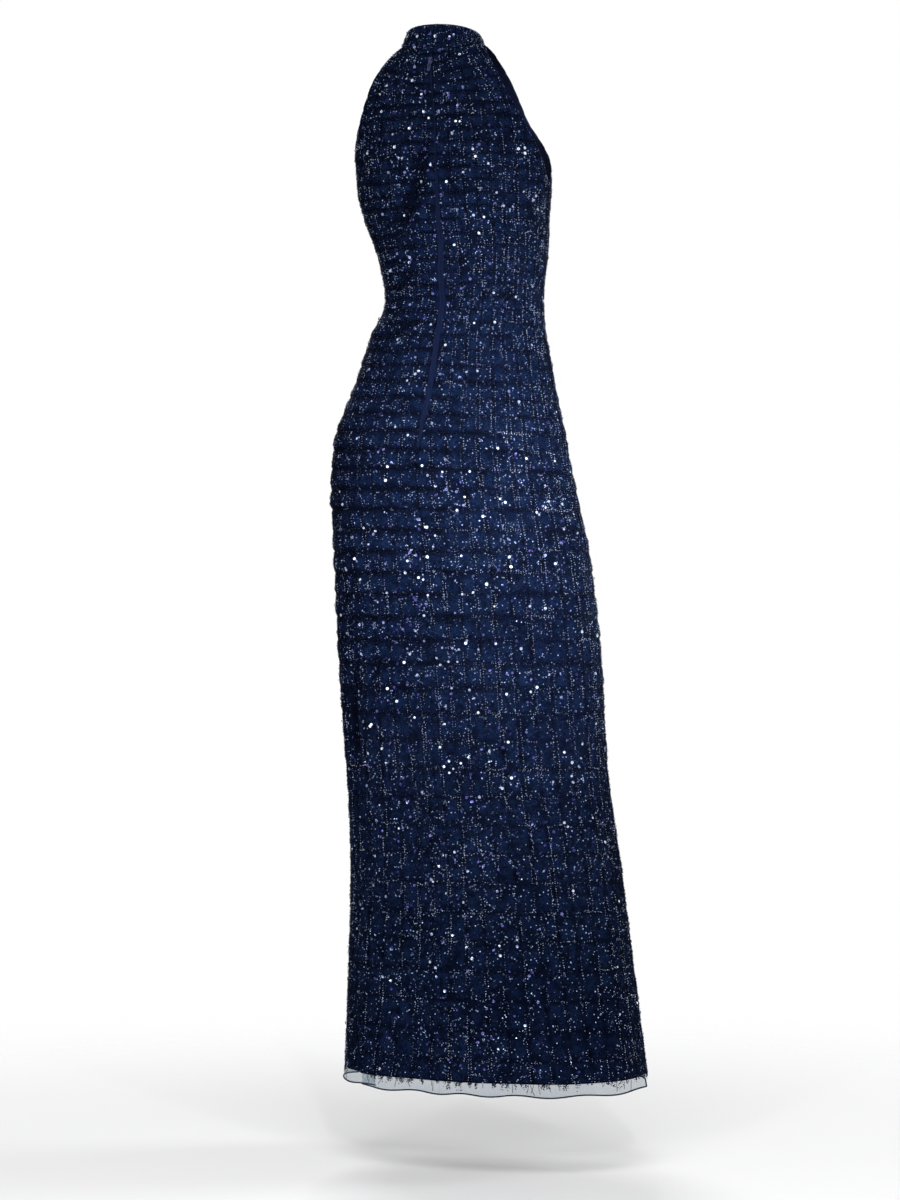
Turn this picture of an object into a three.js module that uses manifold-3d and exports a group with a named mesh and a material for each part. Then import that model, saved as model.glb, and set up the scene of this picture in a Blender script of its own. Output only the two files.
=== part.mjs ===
// Evening gown, standing in its worn shape: a beaded halter column dress with a high neckband,
// a concealed zip at the centre back, a slit low on the left side and a sheer mesh border at the hem.
// Millimetres, +Z up. The origin is the middle of the neck ring at the neckband's seam.
// The back faces +Y, the front -Y, and the wearer's left is +X.

import * as THREE from 'three';
import { mergeVertices } from 'three/addons/utils/BufferGeometryUtils.js';
import Module from 'manifold-3d';

const wasm = await Module();
wasm.setup();

// Cloth
const clothThickness = 1.6;
const stripProud = 0.2;
const seamGap = 0.3;
const neckSeamGap = 0.5;
const beadedEdgeLevel = -1488;
const hemLevel = -1505;
const underarmLevel = -196;

// Columns of faces across each panel, and bead rows between two rings of the plain inside
const frontColumns = 16;
const backColumns = 11;
const insideStep = 4;

// Neckband
const neckbandThickness = 1.8;
const neckbandColumns = 26;
const neckSideRise = 7;
const neckBackDip = 22;
const neckFrontDip = 32;
const neckDipReach = 110;

// Zip
const zipEndLevel = -610;
const stripWidenLevel = -150;
const stripWidenLength = 150;
const stripWidthTop = 1.4;
const stripWidthWide = 4.4;
const stripWidthEnd = 1.2;
const stripGap = 0.45;
const sliderLevel = -9;
const sliderWidth = 6;
const sliderHeight = 10;
const sliderThickness = 1.4;
const sliderLift = 0.7;
const sliderCorner = 1.6;
const cheekThickness = 1.1;
const cheekLength = 3.4;
const cheekCorner = 1;
const pinRadius = 0.6;
const pinClearance = 0.3;
const pinRise = 2.6;
const eyeWall = 0.8;
const eyeClearance = 0.2;
const pullLength = 21;
const pullWidth = 4.2;
const pullThickness = 1.1;
const pullNeckLength = 4;
const pullShoulder = 9;
const pullSlot = { width: 1.8, length: 10, centre: 12.8 };

// Slit
const slitTopLevel = -932;
const slitOpenLength = 70;
const slitOverlapLength = 120;
const slitOverlap = 13;
const slitSpread = 4.6;
const slitSpreadAngle = 13;
const slitParting = 1.6;
const slitPartLength = 40;

// Mesh border
const meshThickness = 1;
const meshEdgeExtra = 0.5;
const meshEdgeHeight = 2.4;
const meshColumnAngle = 3;
const meshInset = 0.3;
const meshRows = [0, 0.35, 0.7];
const meshWaves = [
  { turns: 9, phase: 40, depth: 2, drop: 0 },
  { turns: 17, phase: 0, depth: 1.2, drop: 0 },
  { turns: 13, phase: 70, depth: 0, drop: 1.6 },
];

// The gown's rings. A level is the height of a bead row before the rows bend: the shift is sideways,
// the side, back and front are the reaches from the ring's middle line, and a pucker is the height
// that the cloth puffs out between two bead rows.
const sections = [
  { level: 0, shift: 0, side: 60, back: 60, front: -58, roundness: 2.1, pucker: 0.5 },
  { level: -22, shift: -1, side: 87, back: 67, front: -65, roundness: 2.15, pucker: 0.8 },
  { level: -64, shift: -5, side: 126, back: 76, front: -78, roundness: 2.25, pucker: 0.9 },
  { level: -106, shift: -9, side: 141, back: 80, front: -90, roundness: 2.3, pucker: 1 },
  { level: -150, shift: -10, side: 146, back: 82, front: -102, roundness: 2.3, pucker: 1 },
  { level: -200, shift: -11, side: 145, back: 80, front: -110, roundness: 2.3, pucker: 1 },
  { level: -240, shift: -13, side: 139, back: 74, front: -112, roundness: 2.3, pucker: 1 },
  { level: -300, shift: -22, side: 127, back: 63, front: -106, roundness: 2.3, pucker: 1 },
  { level: -365, shift: -25, side: 118, back: 57, front: -99, roundness: 2.3, pucker: 1 },
  { level: -430, shift: -16, side: 134, back: 67, front: -104, roundness: 2.3, pucker: 1.2 },
  { level: -500, shift: -15, side: 151, back: 92, front: -108, roundness: 2.3, pucker: 1.3 },
  { level: -570, shift: -13, side: 171, back: 116, front: -108, roundness: 2.3, pucker: 1.5 },
  { level: -650, shift: -20, side: 182, back: 129, front: -106, roundness: 2.3, pucker: 1.5 },
  { level: -750, shift: -32, side: 190, back: 126, front: -107, roundness: 2.35, pucker: 1.5 },
  { level: -900, shift: -41, side: 196, back: 113, front: -111, roundness: 2.35, pucker: 1.4 },
  { level: -1050, shift: -50, side: 195, back: 112, front: -116, roundness: 2.35, pucker: 1.2 },
  { level: -1200, shift: -64, side: 202, back: 119, front: -124, roundness: 2.35, pucker: 1 },
  { level: -1350, shift: -72, side: 213, back: 132, front: -138, roundness: 2.3, pucker: 1 },
  { level: -1520, shift: -80, side: 226, back: 150, front: -160, roundness: 2.3, pucker: 0.8 },
];

// The armhole's edges, as angles from the centre back and from the centre front
const armholes = [
  { level: 0, back: 90, front: 90 },
  { level: -8, back: 80, front: 78 },
  { level: -22, back: 70, front: 66 },
  { level: -64, back: 65, front: 57 },
  { level: -90, back: 67, front: 56 },
  { level: -142, back: 76, front: 67 },
  { level: -174, back: 84, front: 80 },
  { level: -196, back: 90, front: 90 },
];

// The seams' courses, as angles from +Y towards the wearer's right
const seams = [
  { level: 0, centre: 3, left: -90, right: 90 },
  { level: -100, centre: 4, left: -90, right: 90 },
  { level: -200, centre: 5, left: -90, right: 90 },
  { level: -300, centre: -2, left: -89, right: 90 },
  { level: -345, centre: -5, left: -88, right: 90 },
  { level: -425, centre: -1, left: -86, right: 90 },
  { level: -500, centre: -1, left: -83, right: 90 },
  { level: -560, centre: -2.6, left: -80, right: 90 },
  { level: -610, centre: -4.6, left: -77, right: 90 },
  { level: -750, centre: -8.5, left: -71, right: 91 },
  { level: -932, centre: -11, left: -62, right: 92 },
  { level: -1040, centre: -12, left: -57, right: 93 },
  { level: -1340, centre: -12, left: -56, right: 94 },
  { level: -1520, centre: -12, left: -49, right: 95 },
];

// The spacing of the bead rows
const rowSpacing = [
  { level: 0, pitch: 18.5 },
  { level: -400, pitch: 18.5 },
  { level: -440, pitch: 23 },
  { level: -535, pitch: 25 },
  { level: -600, pitch: 28 },
  { level: -750, pitch: 31 },
  { level: -900, pitch: 35 },
  { level: -1010, pitch: 40 },
  { level: -1500, pitch: 42 },
];
const firstBeadRow = -15.5;
const shortestPuff = 0.7;

// Large folds. Each runs from its top to its bottom between two angles, pushed in by its depth.
const folds = [
  { top: -130, bottom: -290, topAngle: -7, bottomAngle: -31, width: 6, depth: 3.2 },
  { top: -470, bottom: -640, topAngle: 38, bottomAngle: 20, width: 9, depth: 2.5 },
  { top: -640, bottom: -900, topAngle: -2, bottomAngle: 4, width: 12, depth: 4 },
  { top: -900, bottom: -1620, topAngle: -30, bottomAngle: -28, width: 10, depth: 5 },
  { top: -930, bottom: -1620, topAngle: 24, bottomAngle: 30, width: 11, depth: 6 },
  { top: -1000, bottom: -1620, topAngle: 66, bottomAngle: 62, width: 9, depth: 4 },
  { top: -700, bottom: -1620, topAngle: 128, bottomAngle: 132, width: 12, depth: 6 },
  { top: -860, bottom: -1620, topAngle: 176, bottomAngle: 170, width: 12, depth: 7 },
  { top: -760, bottom: -1620, topAngle: 228, bottomAngle: 222, width: 13, depth: 6 },
  { top: -1040, bottom: -1620, topAngle: 262, bottomAngle: 266, width: 10, depth: 5 },
];
const foldFade = 0.3;

// The cups, shaped by darts, as angles from the centre front
const cup = { level: -236, angle: 31, height: 15, spreadAngle: 19, spreadLevel: 48 };

// The rows drop towards the wearer's right over the hips
const rowLean = { level: -540, drop: 6, spread: 150 };

const sinDeg = (angle) => Math.sin(THREE.MathUtils.degToRad(angle));
const cosDeg = (angle) => Math.cos(THREE.MathUtils.degToRad(angle));
const smooth = (value) => THREE.MathUtils.smoothstep(value, 0, 1);
const bell = (offset, spread) => Math.exp(-((offset / spread) ** 2));

// Reads one column of a table at a level, by a smooth curve that never overshoots its rows
function readTable(table, level, column) {
  const last = table.length - 1;
  if (level >= table[0].level) return table[0][column];
  if (level <= table[last].level) return table[last][column];
  const row = table.findIndex((entry) => level > entry.level) - 1;
  const slope = (k) => {
    const run = table[k + 1].level - table[k].level;
    return (table[k + 1][column] - table[k][column]) / run;
  };
  const tangent = (k) => {
    if (k === 0 || k === last) return slope(Math.min(k, last - 1));
    const above = slope(k - 1);
    const below = slope(k);
    return above * below <= 0 ? 0 : (2 * above * below) / (above + below);
  };
  const run = table[row + 1].level - table[row].level;
  const t = (level - table[row].level) / run;
  const start = table[row][column];
  const end = table[row + 1][column];
  return (
    start * (1 + 2 * t) * (1 - t) ** 2 +
    tangent(row) * run * t * (1 - t) ** 2 +
    end * t * t * (3 - 2 * t) +
    tangent(row + 1) * run * t * t * (t - 1)
  );
}

const wrapped = (angle) => THREE.MathUtils.euclideanModulo(angle + 180, 360) - 180;

function foldDepth(angle, level) {
  let depth = 0;
  for (const fold of folds) {
    const along = (level - fold.top) / (fold.bottom - fold.top);
    if (along <= 0 || along >= 1) continue;
    const centre = THREE.MathUtils.lerp(fold.topAngle, fold.bottomAngle, along);
    const fade = smooth(along / foldFade) * smooth((1 - along) / foldFade);
    depth += fold.depth * fade * bell(wrapped(angle - centre), fold.width);
  }
  return depth;
}

function cupHeight(angle, level) {
  const across = Math.abs(wrapped(angle - 180)) - cup.angle;
  return cup.height * bell(across, cup.spreadAngle) * bell(level - cup.level, cup.spreadLevel);
}

// The height of a row at an angle: the neck seam dips at the back and front, and the hip rows lean
function neckRise(angle) {
  const dip = cosDeg(angle) > 0 ? neckBackDip : neckFrontDip;
  return neckSideRise - dip * cosDeg(angle) ** 2;
}

function rowHeight(angle, level) {
  const bend = smooth(1 + level / neckDipReach);
  const lean = rowLean.drop * bell(level - rowLean.level, rowLean.spread) * sinDeg(angle);
  return level + neckRise(angle) * bend - lean;
}

// The radius of a rounded ring at an angle, from its reaches to the side and to the back or front
function ringRadius(angle, side, depth, roundness) {
  const across = Math.abs(sinDeg(angle)) / side;
  const along = Math.abs(cosDeg(angle)) / depth;
  return (across ** roundness + along ** roundness) ** (-1 / roundness);
}

// A point of the cloth's base surface. The relief moves it out along its radius.
function clothPoint(angle, level, relief = 0) {
  const read = (column) => readTable(sections, level, column);
  const middle = (read('back') + read('front')) / 2;
  const depth = (read('back') - read('front')) / 2;
  let radius = ringRadius(angle, read('side'), depth, read('roundness'));
  radius += cupHeight(angle, level) - foldDepth(angle, level) + relief;
  return new THREE.Vector3(
    read('shift') - radius * sinDeg(angle),
    middle + radius * cosDeg(angle),
    rowHeight(angle, level),
  );
}

// The outward normal of a surface that is given as a function of angle and level
function normalOf(surface, angle, level) {
  const turn = 0.5;
  const drop = 1;
  const across = surface(angle + turn, level).sub(surface(angle - turn, level));
  const down = surface(angle, level - drop).sub(surface(angle, level + drop));
  return down.cross(across).normalize();
}

// The levels of the bead rows, and between each two the level where the cloth puffs out most
function panelLevels() {
  const levels = [{ level: 0, puffed: false }];
  let row = firstBeadRow;
  while (row > beadedEdgeLevel) {
    const pitch = readTable(rowSpacing, row, 'pitch');
    levels.push({ level: row, puffed: false });
    const room = row - beadedEdgeLevel > pitch * shortestPuff;
    if (room) levels.push({ level: row - pitch / 2, puffed: true });
    row -= pitch;
  }
  levels.push({ level: beadedEdgeLevel, puffed: false });
  return levels;
}

// Joins lists of triangles and vertices into one closed body
function bodyFrom(points, triangles) {
  const geometry = new THREE.BufferGeometry();
  const positions = points.flatMap((point) => [point.x, point.y, point.z]);
  geometry.setAttribute('position', new THREE.Float32BufferAttribute(positions, 3));
  geometry.setIndex(triangles.flat());
  return geometry;
}

// A cloth wall between two edges. The outside has every ring, and the plain inside has every few.
// The two are closed along the top, the bottom and both side edges.
function clothWall({ levels, columns, startAngle, endAngle, outside, inside, step }) {
  const points = [];
  const triangles = [];
  const width = columns + 1;
  const insideRows = levels.map((entry, row) => row).filter((row) => row % step === 0);
  if (insideRows.at(-1) !== levels.length - 1) insideRows.push(levels.length - 1);

  const angleAt = (level, column) =>
    THREE.MathUtils.lerp(startAngle(level), endAngle(level), column / columns);
  const addRing = (row, surface) => {
    const first = points.length;
    for (let column = 0; column < width; column++) {
      points.push(surface(angleAt(levels[row].level, column), levels[row]));
    }
    return first;
  };
  const outer = levels.map((entry, row) => addRing(row, outside));
  const inner = insideRows.map((row) => addRing(row, inside));

  const quad = (a, b, c, d) => triangles.push([a, b, c], [a, c, d]);
  for (let row = 0; row + 1 < outer.length; row++) {
    for (let column = 0; column < columns; column++) {
      const here = outer[row] + column;
      const under = outer[row + 1] + column;
      quad(here, under, under + 1, here + 1);
    }
  }
  for (let row = 0; row + 1 < inner.length; row++) {
    for (let column = 0; column < columns; column++) {
      const here = inner[row] + column;
      const under = inner[row + 1] + column;
      quad(here, here + 1, under + 1, under);
    }
  }
  const lastOuter = outer.at(-1);
  const lastInner = inner.at(-1);
  for (let column = 0; column < columns; column++) {
    quad(outer[0] + column, outer[0] + column + 1, inner[0] + column + 1, inner[0] + column);
    quad(lastOuter + column, lastInner + column, lastInner + column + 1, lastOuter + column + 1);
  }
  for (let part = 0; part + 1 < insideRows.length; part++) {
    for (const [column, flip] of [[0, false], [columns, true]]) {
      const add = (a, b, c) => triangles.push(flip ? [a, c, b] : [a, b, c]);
      const middle = Math.floor((insideRows[part] + insideRows[part + 1]) / 2);
      for (let row = insideRows[part]; row < insideRows[part + 1]; row++) {
        const anchor = inner[row < middle ? part : part + 1] + column;
        add(outer[row] + column, anchor, outer[row + 1] + column);
      }
      add(outer[middle] + column, inner[part] + column, inner[part + 1] + column);
    }
  }
  return bodyFrom(points, triangles);
}

const gapAngle = (level, distance) => {
  const radius = clothPoint(0, level).distanceTo(clothPoint(180, level)) / 2;
  return THREE.MathUtils.radToDeg(distance / radius);
};

// The plain strip beside the zip is narrow at the neck, wide from the waist and pointed at its end
function stripWidth(level) {
  const widen = smooth((stripWidenLevel - level) / stripWidenLength);
  const wide = THREE.MathUtils.lerp(stripWidthTop, stripWidthWide, widen);
  const taper = (level - lastStripLevel) / (taperTopLevel - lastStripLevel);
  return THREE.MathUtils.lerp(stripWidthEnd, wide, Math.min(taper, 1));
}

const centreAngle = (level) => readTable(seams, level, 'centre');
const seamEdge = (level) => gapAngle(level, seamGap / 2);

function backEdge(level) {
  const besideZip = level >= lastStripLevel;
  const offset = seamGap / 2 + (besideZip ? stripWidth(level) + stripGap : 0);
  return gapAngle(level, offset);
}

// How far the slit has opened at a level, and how far its back edge laps over its front edge
const slitOpening = (level) => smooth((slitTopLevel - level) / slitOpenLength);
const slitLap = (level) =>
  slitOverlap * smooth((slitTopLevel - slitOpenLength - level) / slitOverlapLength) -
  slitParting * smooth((slitTopLevel + slitPartLength - level) / slitPartLength);

function slitRelief(angle, level) {
  const fromSeam = wrapped(angle - readTable(seams, level, 'left'));
  return slitSpread * slitOpening(level) * bell(fromSeam, slitSpreadAngle);
}

const leftSeam = (level) => readTable(seams, level, 'left');
const rightSeam = (level) => readTable(seams, level, 'right');
const aboveUnderarm = (level) => level > underarmLevel;

const edges = {
  backLeftSide(level) {
    if (aboveUnderarm(level)) return -readTable(armholes, level, 'back') + seamEdge(level);
    return leftSeam(level) + seamEdge(level) - gapAngle(level, slitLap(level));
  },
  backLeftCentre: (level) => centreAngle(level) - backEdge(level),
  backRightCentre: (level) => centreAngle(level) + backEdge(level),
  backRightSide(level) {
    if (aboveUnderarm(level)) return readTable(armholes, level, 'back') - seamEdge(level);
    return rightSeam(level) - seamEdge(level);
  },
  frontRight(level) {
    if (aboveUnderarm(level)) return 180 - readTable(armholes, level, 'front') + seamEdge(level);
    return rightSeam(level) + seamEdge(level);
  },
  frontLeft(level) {
    if (aboveUnderarm(level)) return 180 + readTable(armholes, level, 'front') - seamEdge(level);
    return 360 + leftSeam(level) - seamEdge(level);
  },
};

// The strips end at a ring that both faces of the panels have
const levels = panelLevels();
const lastStripRow = levels.findLastIndex(
  (entry, row) => entry.level >= zipEndLevel && row % insideStep === 0,
);
const lastStripLevel = levels[lastStripRow].level;
const taperTopLevel = levels[lastStripRow - insideStep].level;

// A panel's surface is the base surface with the slit's edge moved out or in
function panelSurface(slitSide) {
  return (angle, level) => clothPoint(angle, level, slitSide * slitRelief(angle, level));
}

function offsetPoint(surface, angle, level, distance) {
  return surface(angle, level).addScaledVector(normalOf(surface, angle, level), distance);
}

function beadedPanel({ columns, startAngle, endAngle, slitSide }) {
  const surface = panelSurface(slitSide);
  return clothWall({
    levels,
    columns,
    startAngle,
    endAngle,
    step: insideStep,
    outside: (angle, { level, puffed }) => {
      const puff = puffed ? readTable(sections, level, 'pucker') : 0;
      return offsetPoint(surface, angle, level, puff);
    },
    inside: (angle, { level }) => offsetPoint(surface, angle, level, -clothThickness),
  });
}

// The plain strip of cloth beside the zip, from the neck seam to the zip's end
function zipStrip(side) {
  const near = (level) => gapAngle(level, seamGap / 2);
  const far = (level) => gapAngle(level, seamGap / 2 + stripWidth(level));
  const startAngle = (level) => centreAngle(level) + (side > 0 ? near(level) : -far(level));
  const endAngle = (level) => centreAngle(level) + (side > 0 ? far(level) : -near(level));
  return clothWall({
    levels: levels.filter((entry) => entry.level >= lastStripLevel),
    columns: 1,
    startAngle,
    endAngle,
    step: insideStep,
    outside: (angle, { level }) => offsetPoint(clothPoint, angle, level, stripProud),
    inside: (angle, { level }) => offsetPoint(clothPoint, angle, level, -clothThickness),
  });
}

// The sheer border below the beading: it waves a little and its lower edge is overlocked
function meshBorder({ startAngle, endAngle, slitSide }) {
  const surface = panelSurface(slitSide);
  const drop = beadedEdgeLevel - seamGap - hemLevel;
  const edgeShare = 1 - meshEdgeHeight / drop;
  const meshLevels = [...meshRows, edgeShare, 1].map((share) => ({
    level: beadedEdgeLevel - seamGap - drop * share,
    share,
  }));
  const span = endAngle(hemLevel) - startAngle(hemLevel);
  const waveSum = (angle, size) =>
    meshWaves.reduce((sum, wave) => sum + wave[size] * sinDeg(angle * wave.turns + wave.phase), 0);
  const point = (angle, { level, share }, distance) => {
    const out = distance - meshInset + share * waveSum(angle, 'depth');
    const place = offsetPoint(surface, angle, level, out);
    place.z += share * share * waveSum(angle, 'drop');
    return place;
  };
  const extra = (share) => (share >= edgeShare ? meshEdgeExtra : 0);
  return clothWall({
    levels: meshLevels,
    columns: Math.round(span / meshColumnAngle),
    startAngle,
    endAngle,
    step: 1,
    outside: (angle, entry) => point(angle, entry, extra(entry.share)),
    inside: (angle, entry) => point(angle, entry, -meshThickness - extra(entry.share)),
  });
}

// The standing neckband. Its share runs from 0 at the seam to 1 at the top edge.
const neckbandRings = [
  { level: 0, puff: 0 },
  { level: -0.17, puff: 0.7 },
  { level: -0.34, puff: 0 },
  { level: -0.53, puff: 0.7 },
  { level: -0.72, puff: 0 },
  { level: -0.87, puff: 0.6 },
  { level: -1, puff: 0 },
];
const neckbandTop = { side: 52, back: 52, front: -59, height: 23, tilt: 6.5 };
const neckbandInsideStep = 3;

function neckbandPoint(angle, level) {
  const share = -level;
  const at = (column) => THREE.MathUtils.lerp(sections[0][column], neckbandTop[column], share);
  const middle = (at('back') + at('front')) / 2;
  const radius = ringRadius(angle, at('side'), (at('back') - at('front')) / 2, sections[0].roundness);
  const low = neckRise(angle) + neckSeamGap;
  const high = neckbandTop.height + neckbandTop.tilt * cosDeg(angle);
  return new THREE.Vector3(
    -radius * sinDeg(angle),
    middle + radius * cosDeg(angle),
    THREE.MathUtils.lerp(low, high, share),
  );
}

function neckbandNormal(angle, level) {
  const turn = 0.5;
  const drop = 0.02;
  const across = neckbandPoint(angle + turn, level).sub(neckbandPoint(angle - turn, level));
  const up = neckbandPoint(angle, level - drop).sub(neckbandPoint(angle, level + drop));
  return across.cross(up).normalize();
}

function neckband() {
  const edge = gapAngle(0, seamGap);
  const rings = [...neckbandRings].reverse();
  const move = (angle, level, distance) =>
    neckbandPoint(angle, level).addScaledVector(neckbandNormal(angle, level), distance);
  return clothWall({
    levels: rings,
    columns: neckbandColumns,
    startAngle: () => centreAngle(0) + edge,
    endAngle: () => 360 + centreAngle(0) - edge,
    step: neckbandInsideStep,
    outside: (angle, { level, puff }) => move(angle, level, puff),
    inside: (angle, { level }) => move(angle, level, -neckbandThickness),
  });
}

// A closed geometry as a solid, and back
function solidOf(geometry) {
  const bare = geometry.clone();
  bare.deleteAttribute('normal');
  bare.deleteAttribute('uv');
  const merged = mergeVertices(bare, 1e-4);
  return new wasm.Manifold(
    new wasm.Mesh({
      numProp: 3,
      vertProperties: new Float32Array(merged.attributes.position.array),
      triVerts: new Uint32Array(merged.index.array),
    }),
  );
}

function geometryOf(solid) {
  const mesh = solid.getMesh();
  const geometry = new THREE.BufferGeometry();
  geometry.setAttribute('position', new THREE.BufferAttribute(mesh.vertProperties, 3));
  geometry.setIndex(new THREE.BufferAttribute(mesh.triVerts, 1));
  return geometry;
}

// A flat outline with round corners, made thick
function plate(width, height, thickness, corner) {
  const shape = new THREE.Shape();
  const x = width / 2 - corner;
  const y = height / 2 - corner;
  shape.absarc(x, y, corner, 0, Math.PI / 2);
  shape.absarc(-x, y, corner, Math.PI / 2, Math.PI);
  shape.absarc(-x, -y, corner, Math.PI, Math.PI * 1.5);
  shape.absarc(x, -y, corner, Math.PI * 1.5, Math.PI * 2);
  return new THREE.ExtrudeGeometry(shape, {
    depth: thickness,
    bevelEnabled: false,
    curveSegments: 5,
  });
}

// The zip's own frame: x runs across, y up along the cloth and z out of it. The pin is at its origin.
const eyeRadius = pinRadius + pinClearance + eyeWall;
const pinHeight = sliderLift + sliderThickness + eyeRadius + eyeClearance;
const eyeWidth = sliderWidth - 2 * cheekThickness - 2 * seamGap;

function zipSlider() {
  const base = plate(sliderWidth, sliderHeight, sliderThickness, sliderCorner);
  base.translate(0, -pinRise, sliderLift - pinHeight);
  let slider = solidOf(base);
  const cheekTop = cheekLength / 2 - cheekCorner / 2;
  const cheekHeight = pinHeight - sliderLift - sliderThickness / 2 + cheekTop;
  for (const side of [-1, 1]) {
    const cheek = plate(cheekLength, cheekHeight, cheekThickness, cheekCorner);
    cheek.rotateY(Math.PI / 2);
    cheek.rotateX(Math.PI / 2);
    const inner = sliderWidth / 2 - cheekThickness;
    const x = side > 0 ? inner : -inner - cheekThickness;
    cheek.translate(x, 0, cheekTop - cheekHeight / 2);
    slider = slider.add(solidOf(cheek));
  }
  const pin = new THREE.CylinderGeometry(pinRadius, pinRadius, sliderWidth - cheekThickness, 12);
  pin.rotateZ(Math.PI / 2);
  return geometryOf(slider.add(solidOf(pin)));
}

function zipPull() {
  const ring = new THREE.Shape();
  ring.absarc(0, 0, eyeRadius, 0, Math.PI * 2);
  const hole = new THREE.Path();
  hole.absarc(0, 0, pinRadius + pinClearance, 0, Math.PI * 2, true);
  ring.holes.push(hole);
  const eye = new THREE.ExtrudeGeometry(ring, {
    depth: eyeWidth,
    bevelEnabled: false,
    curveSegments: 10,
  });
  eye.rotateY(Math.PI / 2);
  eye.translate(-eyeWidth / 2, 0, 0);

  const tab = new THREE.Shape();
  const neck = (eyeWidth - eyeWall) / 2;
  const half = pullWidth / 2;
  const start = -(pinRadius + pinClearance + eyeWall / 2);
  const bend = (pullNeckLength + pullShoulder) / 2;
  tab.moveTo(neck, start);
  tab.lineTo(-neck, start);
  tab.lineTo(-neck, -pullNeckLength);
  tab.bezierCurveTo(-half, -bend, -half, -pullShoulder, -half, half - pullLength);
  tab.absarc(0, half - pullLength, half, Math.PI, Math.PI * 2);
  tab.bezierCurveTo(half, -pullShoulder, half, -bend, neck, -pullNeckLength);
  tab.closePath();
  const opening = new THREE.Path();
  const { width, length, centre } = pullSlot;
  opening.absellipse(0, -centre, width / 2, length / 2, 0, Math.PI * 2, true);
  tab.holes.push(opening);
  const leaf = new THREE.ExtrudeGeometry(tab, {
    depth: pullThickness,
    bevelEnabled: false,
    curveSegments: 8,
  });
  leaf.translate(0, 0, -pullThickness / 2);
  return geometryOf(solidOf(eye).add(solidOf(leaf)));
}

// The pin's place: out from the cloth at the centre back, turned to lie along the cloth's slope
const sliderAngle = centreAngle(sliderLevel);
const sliderSeat = clothPoint(sliderAngle, sliderLevel);
const sliderNormal = normalOf(clothPoint, sliderAngle, sliderLevel);
sliderNormal.setX(0).normalize();
const acrossZip = new THREE.Vector3(-1, 0, 0);
const alongZip = sliderNormal.clone().cross(acrossZip);
const pinPlace = sliderSeat.clone().addScaledVector(sliderNormal, pinHeight);

const finishes = {
  beaded: { color: 0x1a2442, roughness: 0.45, metalness: 0.25 },
  plain: { color: 0x262c50, roughness: 0.75, metalness: 0 },
  sheer: { color: 0x2a3354, roughness: 0.7, metalness: 0 },
  metal: { color: 0x343a58, roughness: 0.35, metalness: 0.6 },
};

const gown = new THREE.Group();

function addPiece(name, geometry, finish, parent = gown) {
  const mesh = new THREE.Mesh(geometry, new THREE.MeshStandardMaterial(finishes[finish]));
  mesh.name = name;
  parent.add(mesh);
}

const backLeft = { startAngle: edges.backLeftSide, endAngle: edges.backLeftCentre, slitSide: 1 };
const backRight = { startAngle: edges.backRightCentre, endAngle: edges.backRightSide, slitSide: 0 };
const front = { startAngle: edges.frontRight, endAngle: edges.frontLeft, slitSide: -1 };

addPiece('front', beadedPanel({ ...front, columns: frontColumns }), 'beaded');
addPiece('back_left', beadedPanel({ ...backLeft, columns: backColumns }), 'beaded');
addPiece('back_right', beadedPanel({ ...backRight, columns: backColumns }), 'beaded');
addPiece('neckband', neckband(), 'beaded');
addPiece('zip_strip_left', zipStrip(-1), 'plain');
addPiece('zip_strip_right', zipStrip(1), 'plain');
addPiece('hem_mesh_front', meshBorder(front), 'sheer');
addPiece('hem_mesh_back_left', meshBorder(backLeft), 'sheer');
addPiece('hem_mesh_back_right', meshBorder(backRight), 'sheer');

const zip = new THREE.Group();
zip.position.copy(pinPlace);
zip.setRotationFromMatrix(new THREE.Matrix4().makeBasis(acrossZip, alongZip, sliderNormal));
gown.add(zip);
addPiece('zip_slider', zipSlider(), 'metal', zip);
addPiece('zip_pull', zipPull(), 'metal', zip);

export default gown;
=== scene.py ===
# Evening gown in its worn shape: a halter column of navy net, closely beaded in a windowpane grid.
# Metres, +Z up, the back faces +Y and the gown's left, as it is worn, is +X. Angles run from the
# centre back towards its right. A level is the height of a bead row before the rows bend.
import math
import bpy
import numpy as np
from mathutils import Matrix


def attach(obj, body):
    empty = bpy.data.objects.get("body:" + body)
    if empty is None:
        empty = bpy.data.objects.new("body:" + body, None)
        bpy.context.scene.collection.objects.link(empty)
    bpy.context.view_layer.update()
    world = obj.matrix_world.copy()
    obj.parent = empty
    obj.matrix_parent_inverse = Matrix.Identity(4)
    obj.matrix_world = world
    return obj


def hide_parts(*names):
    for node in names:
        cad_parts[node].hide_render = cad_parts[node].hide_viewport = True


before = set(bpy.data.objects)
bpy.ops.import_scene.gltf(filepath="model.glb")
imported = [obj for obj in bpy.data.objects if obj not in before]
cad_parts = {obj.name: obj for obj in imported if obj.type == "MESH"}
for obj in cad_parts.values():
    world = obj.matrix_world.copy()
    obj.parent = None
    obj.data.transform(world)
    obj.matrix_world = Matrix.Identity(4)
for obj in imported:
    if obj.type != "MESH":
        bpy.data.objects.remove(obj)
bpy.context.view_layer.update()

scene = bpy.context.scene
dice = np.random.default_rng(11)
print("gown: frame loaded, nodes", len(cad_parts))


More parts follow.
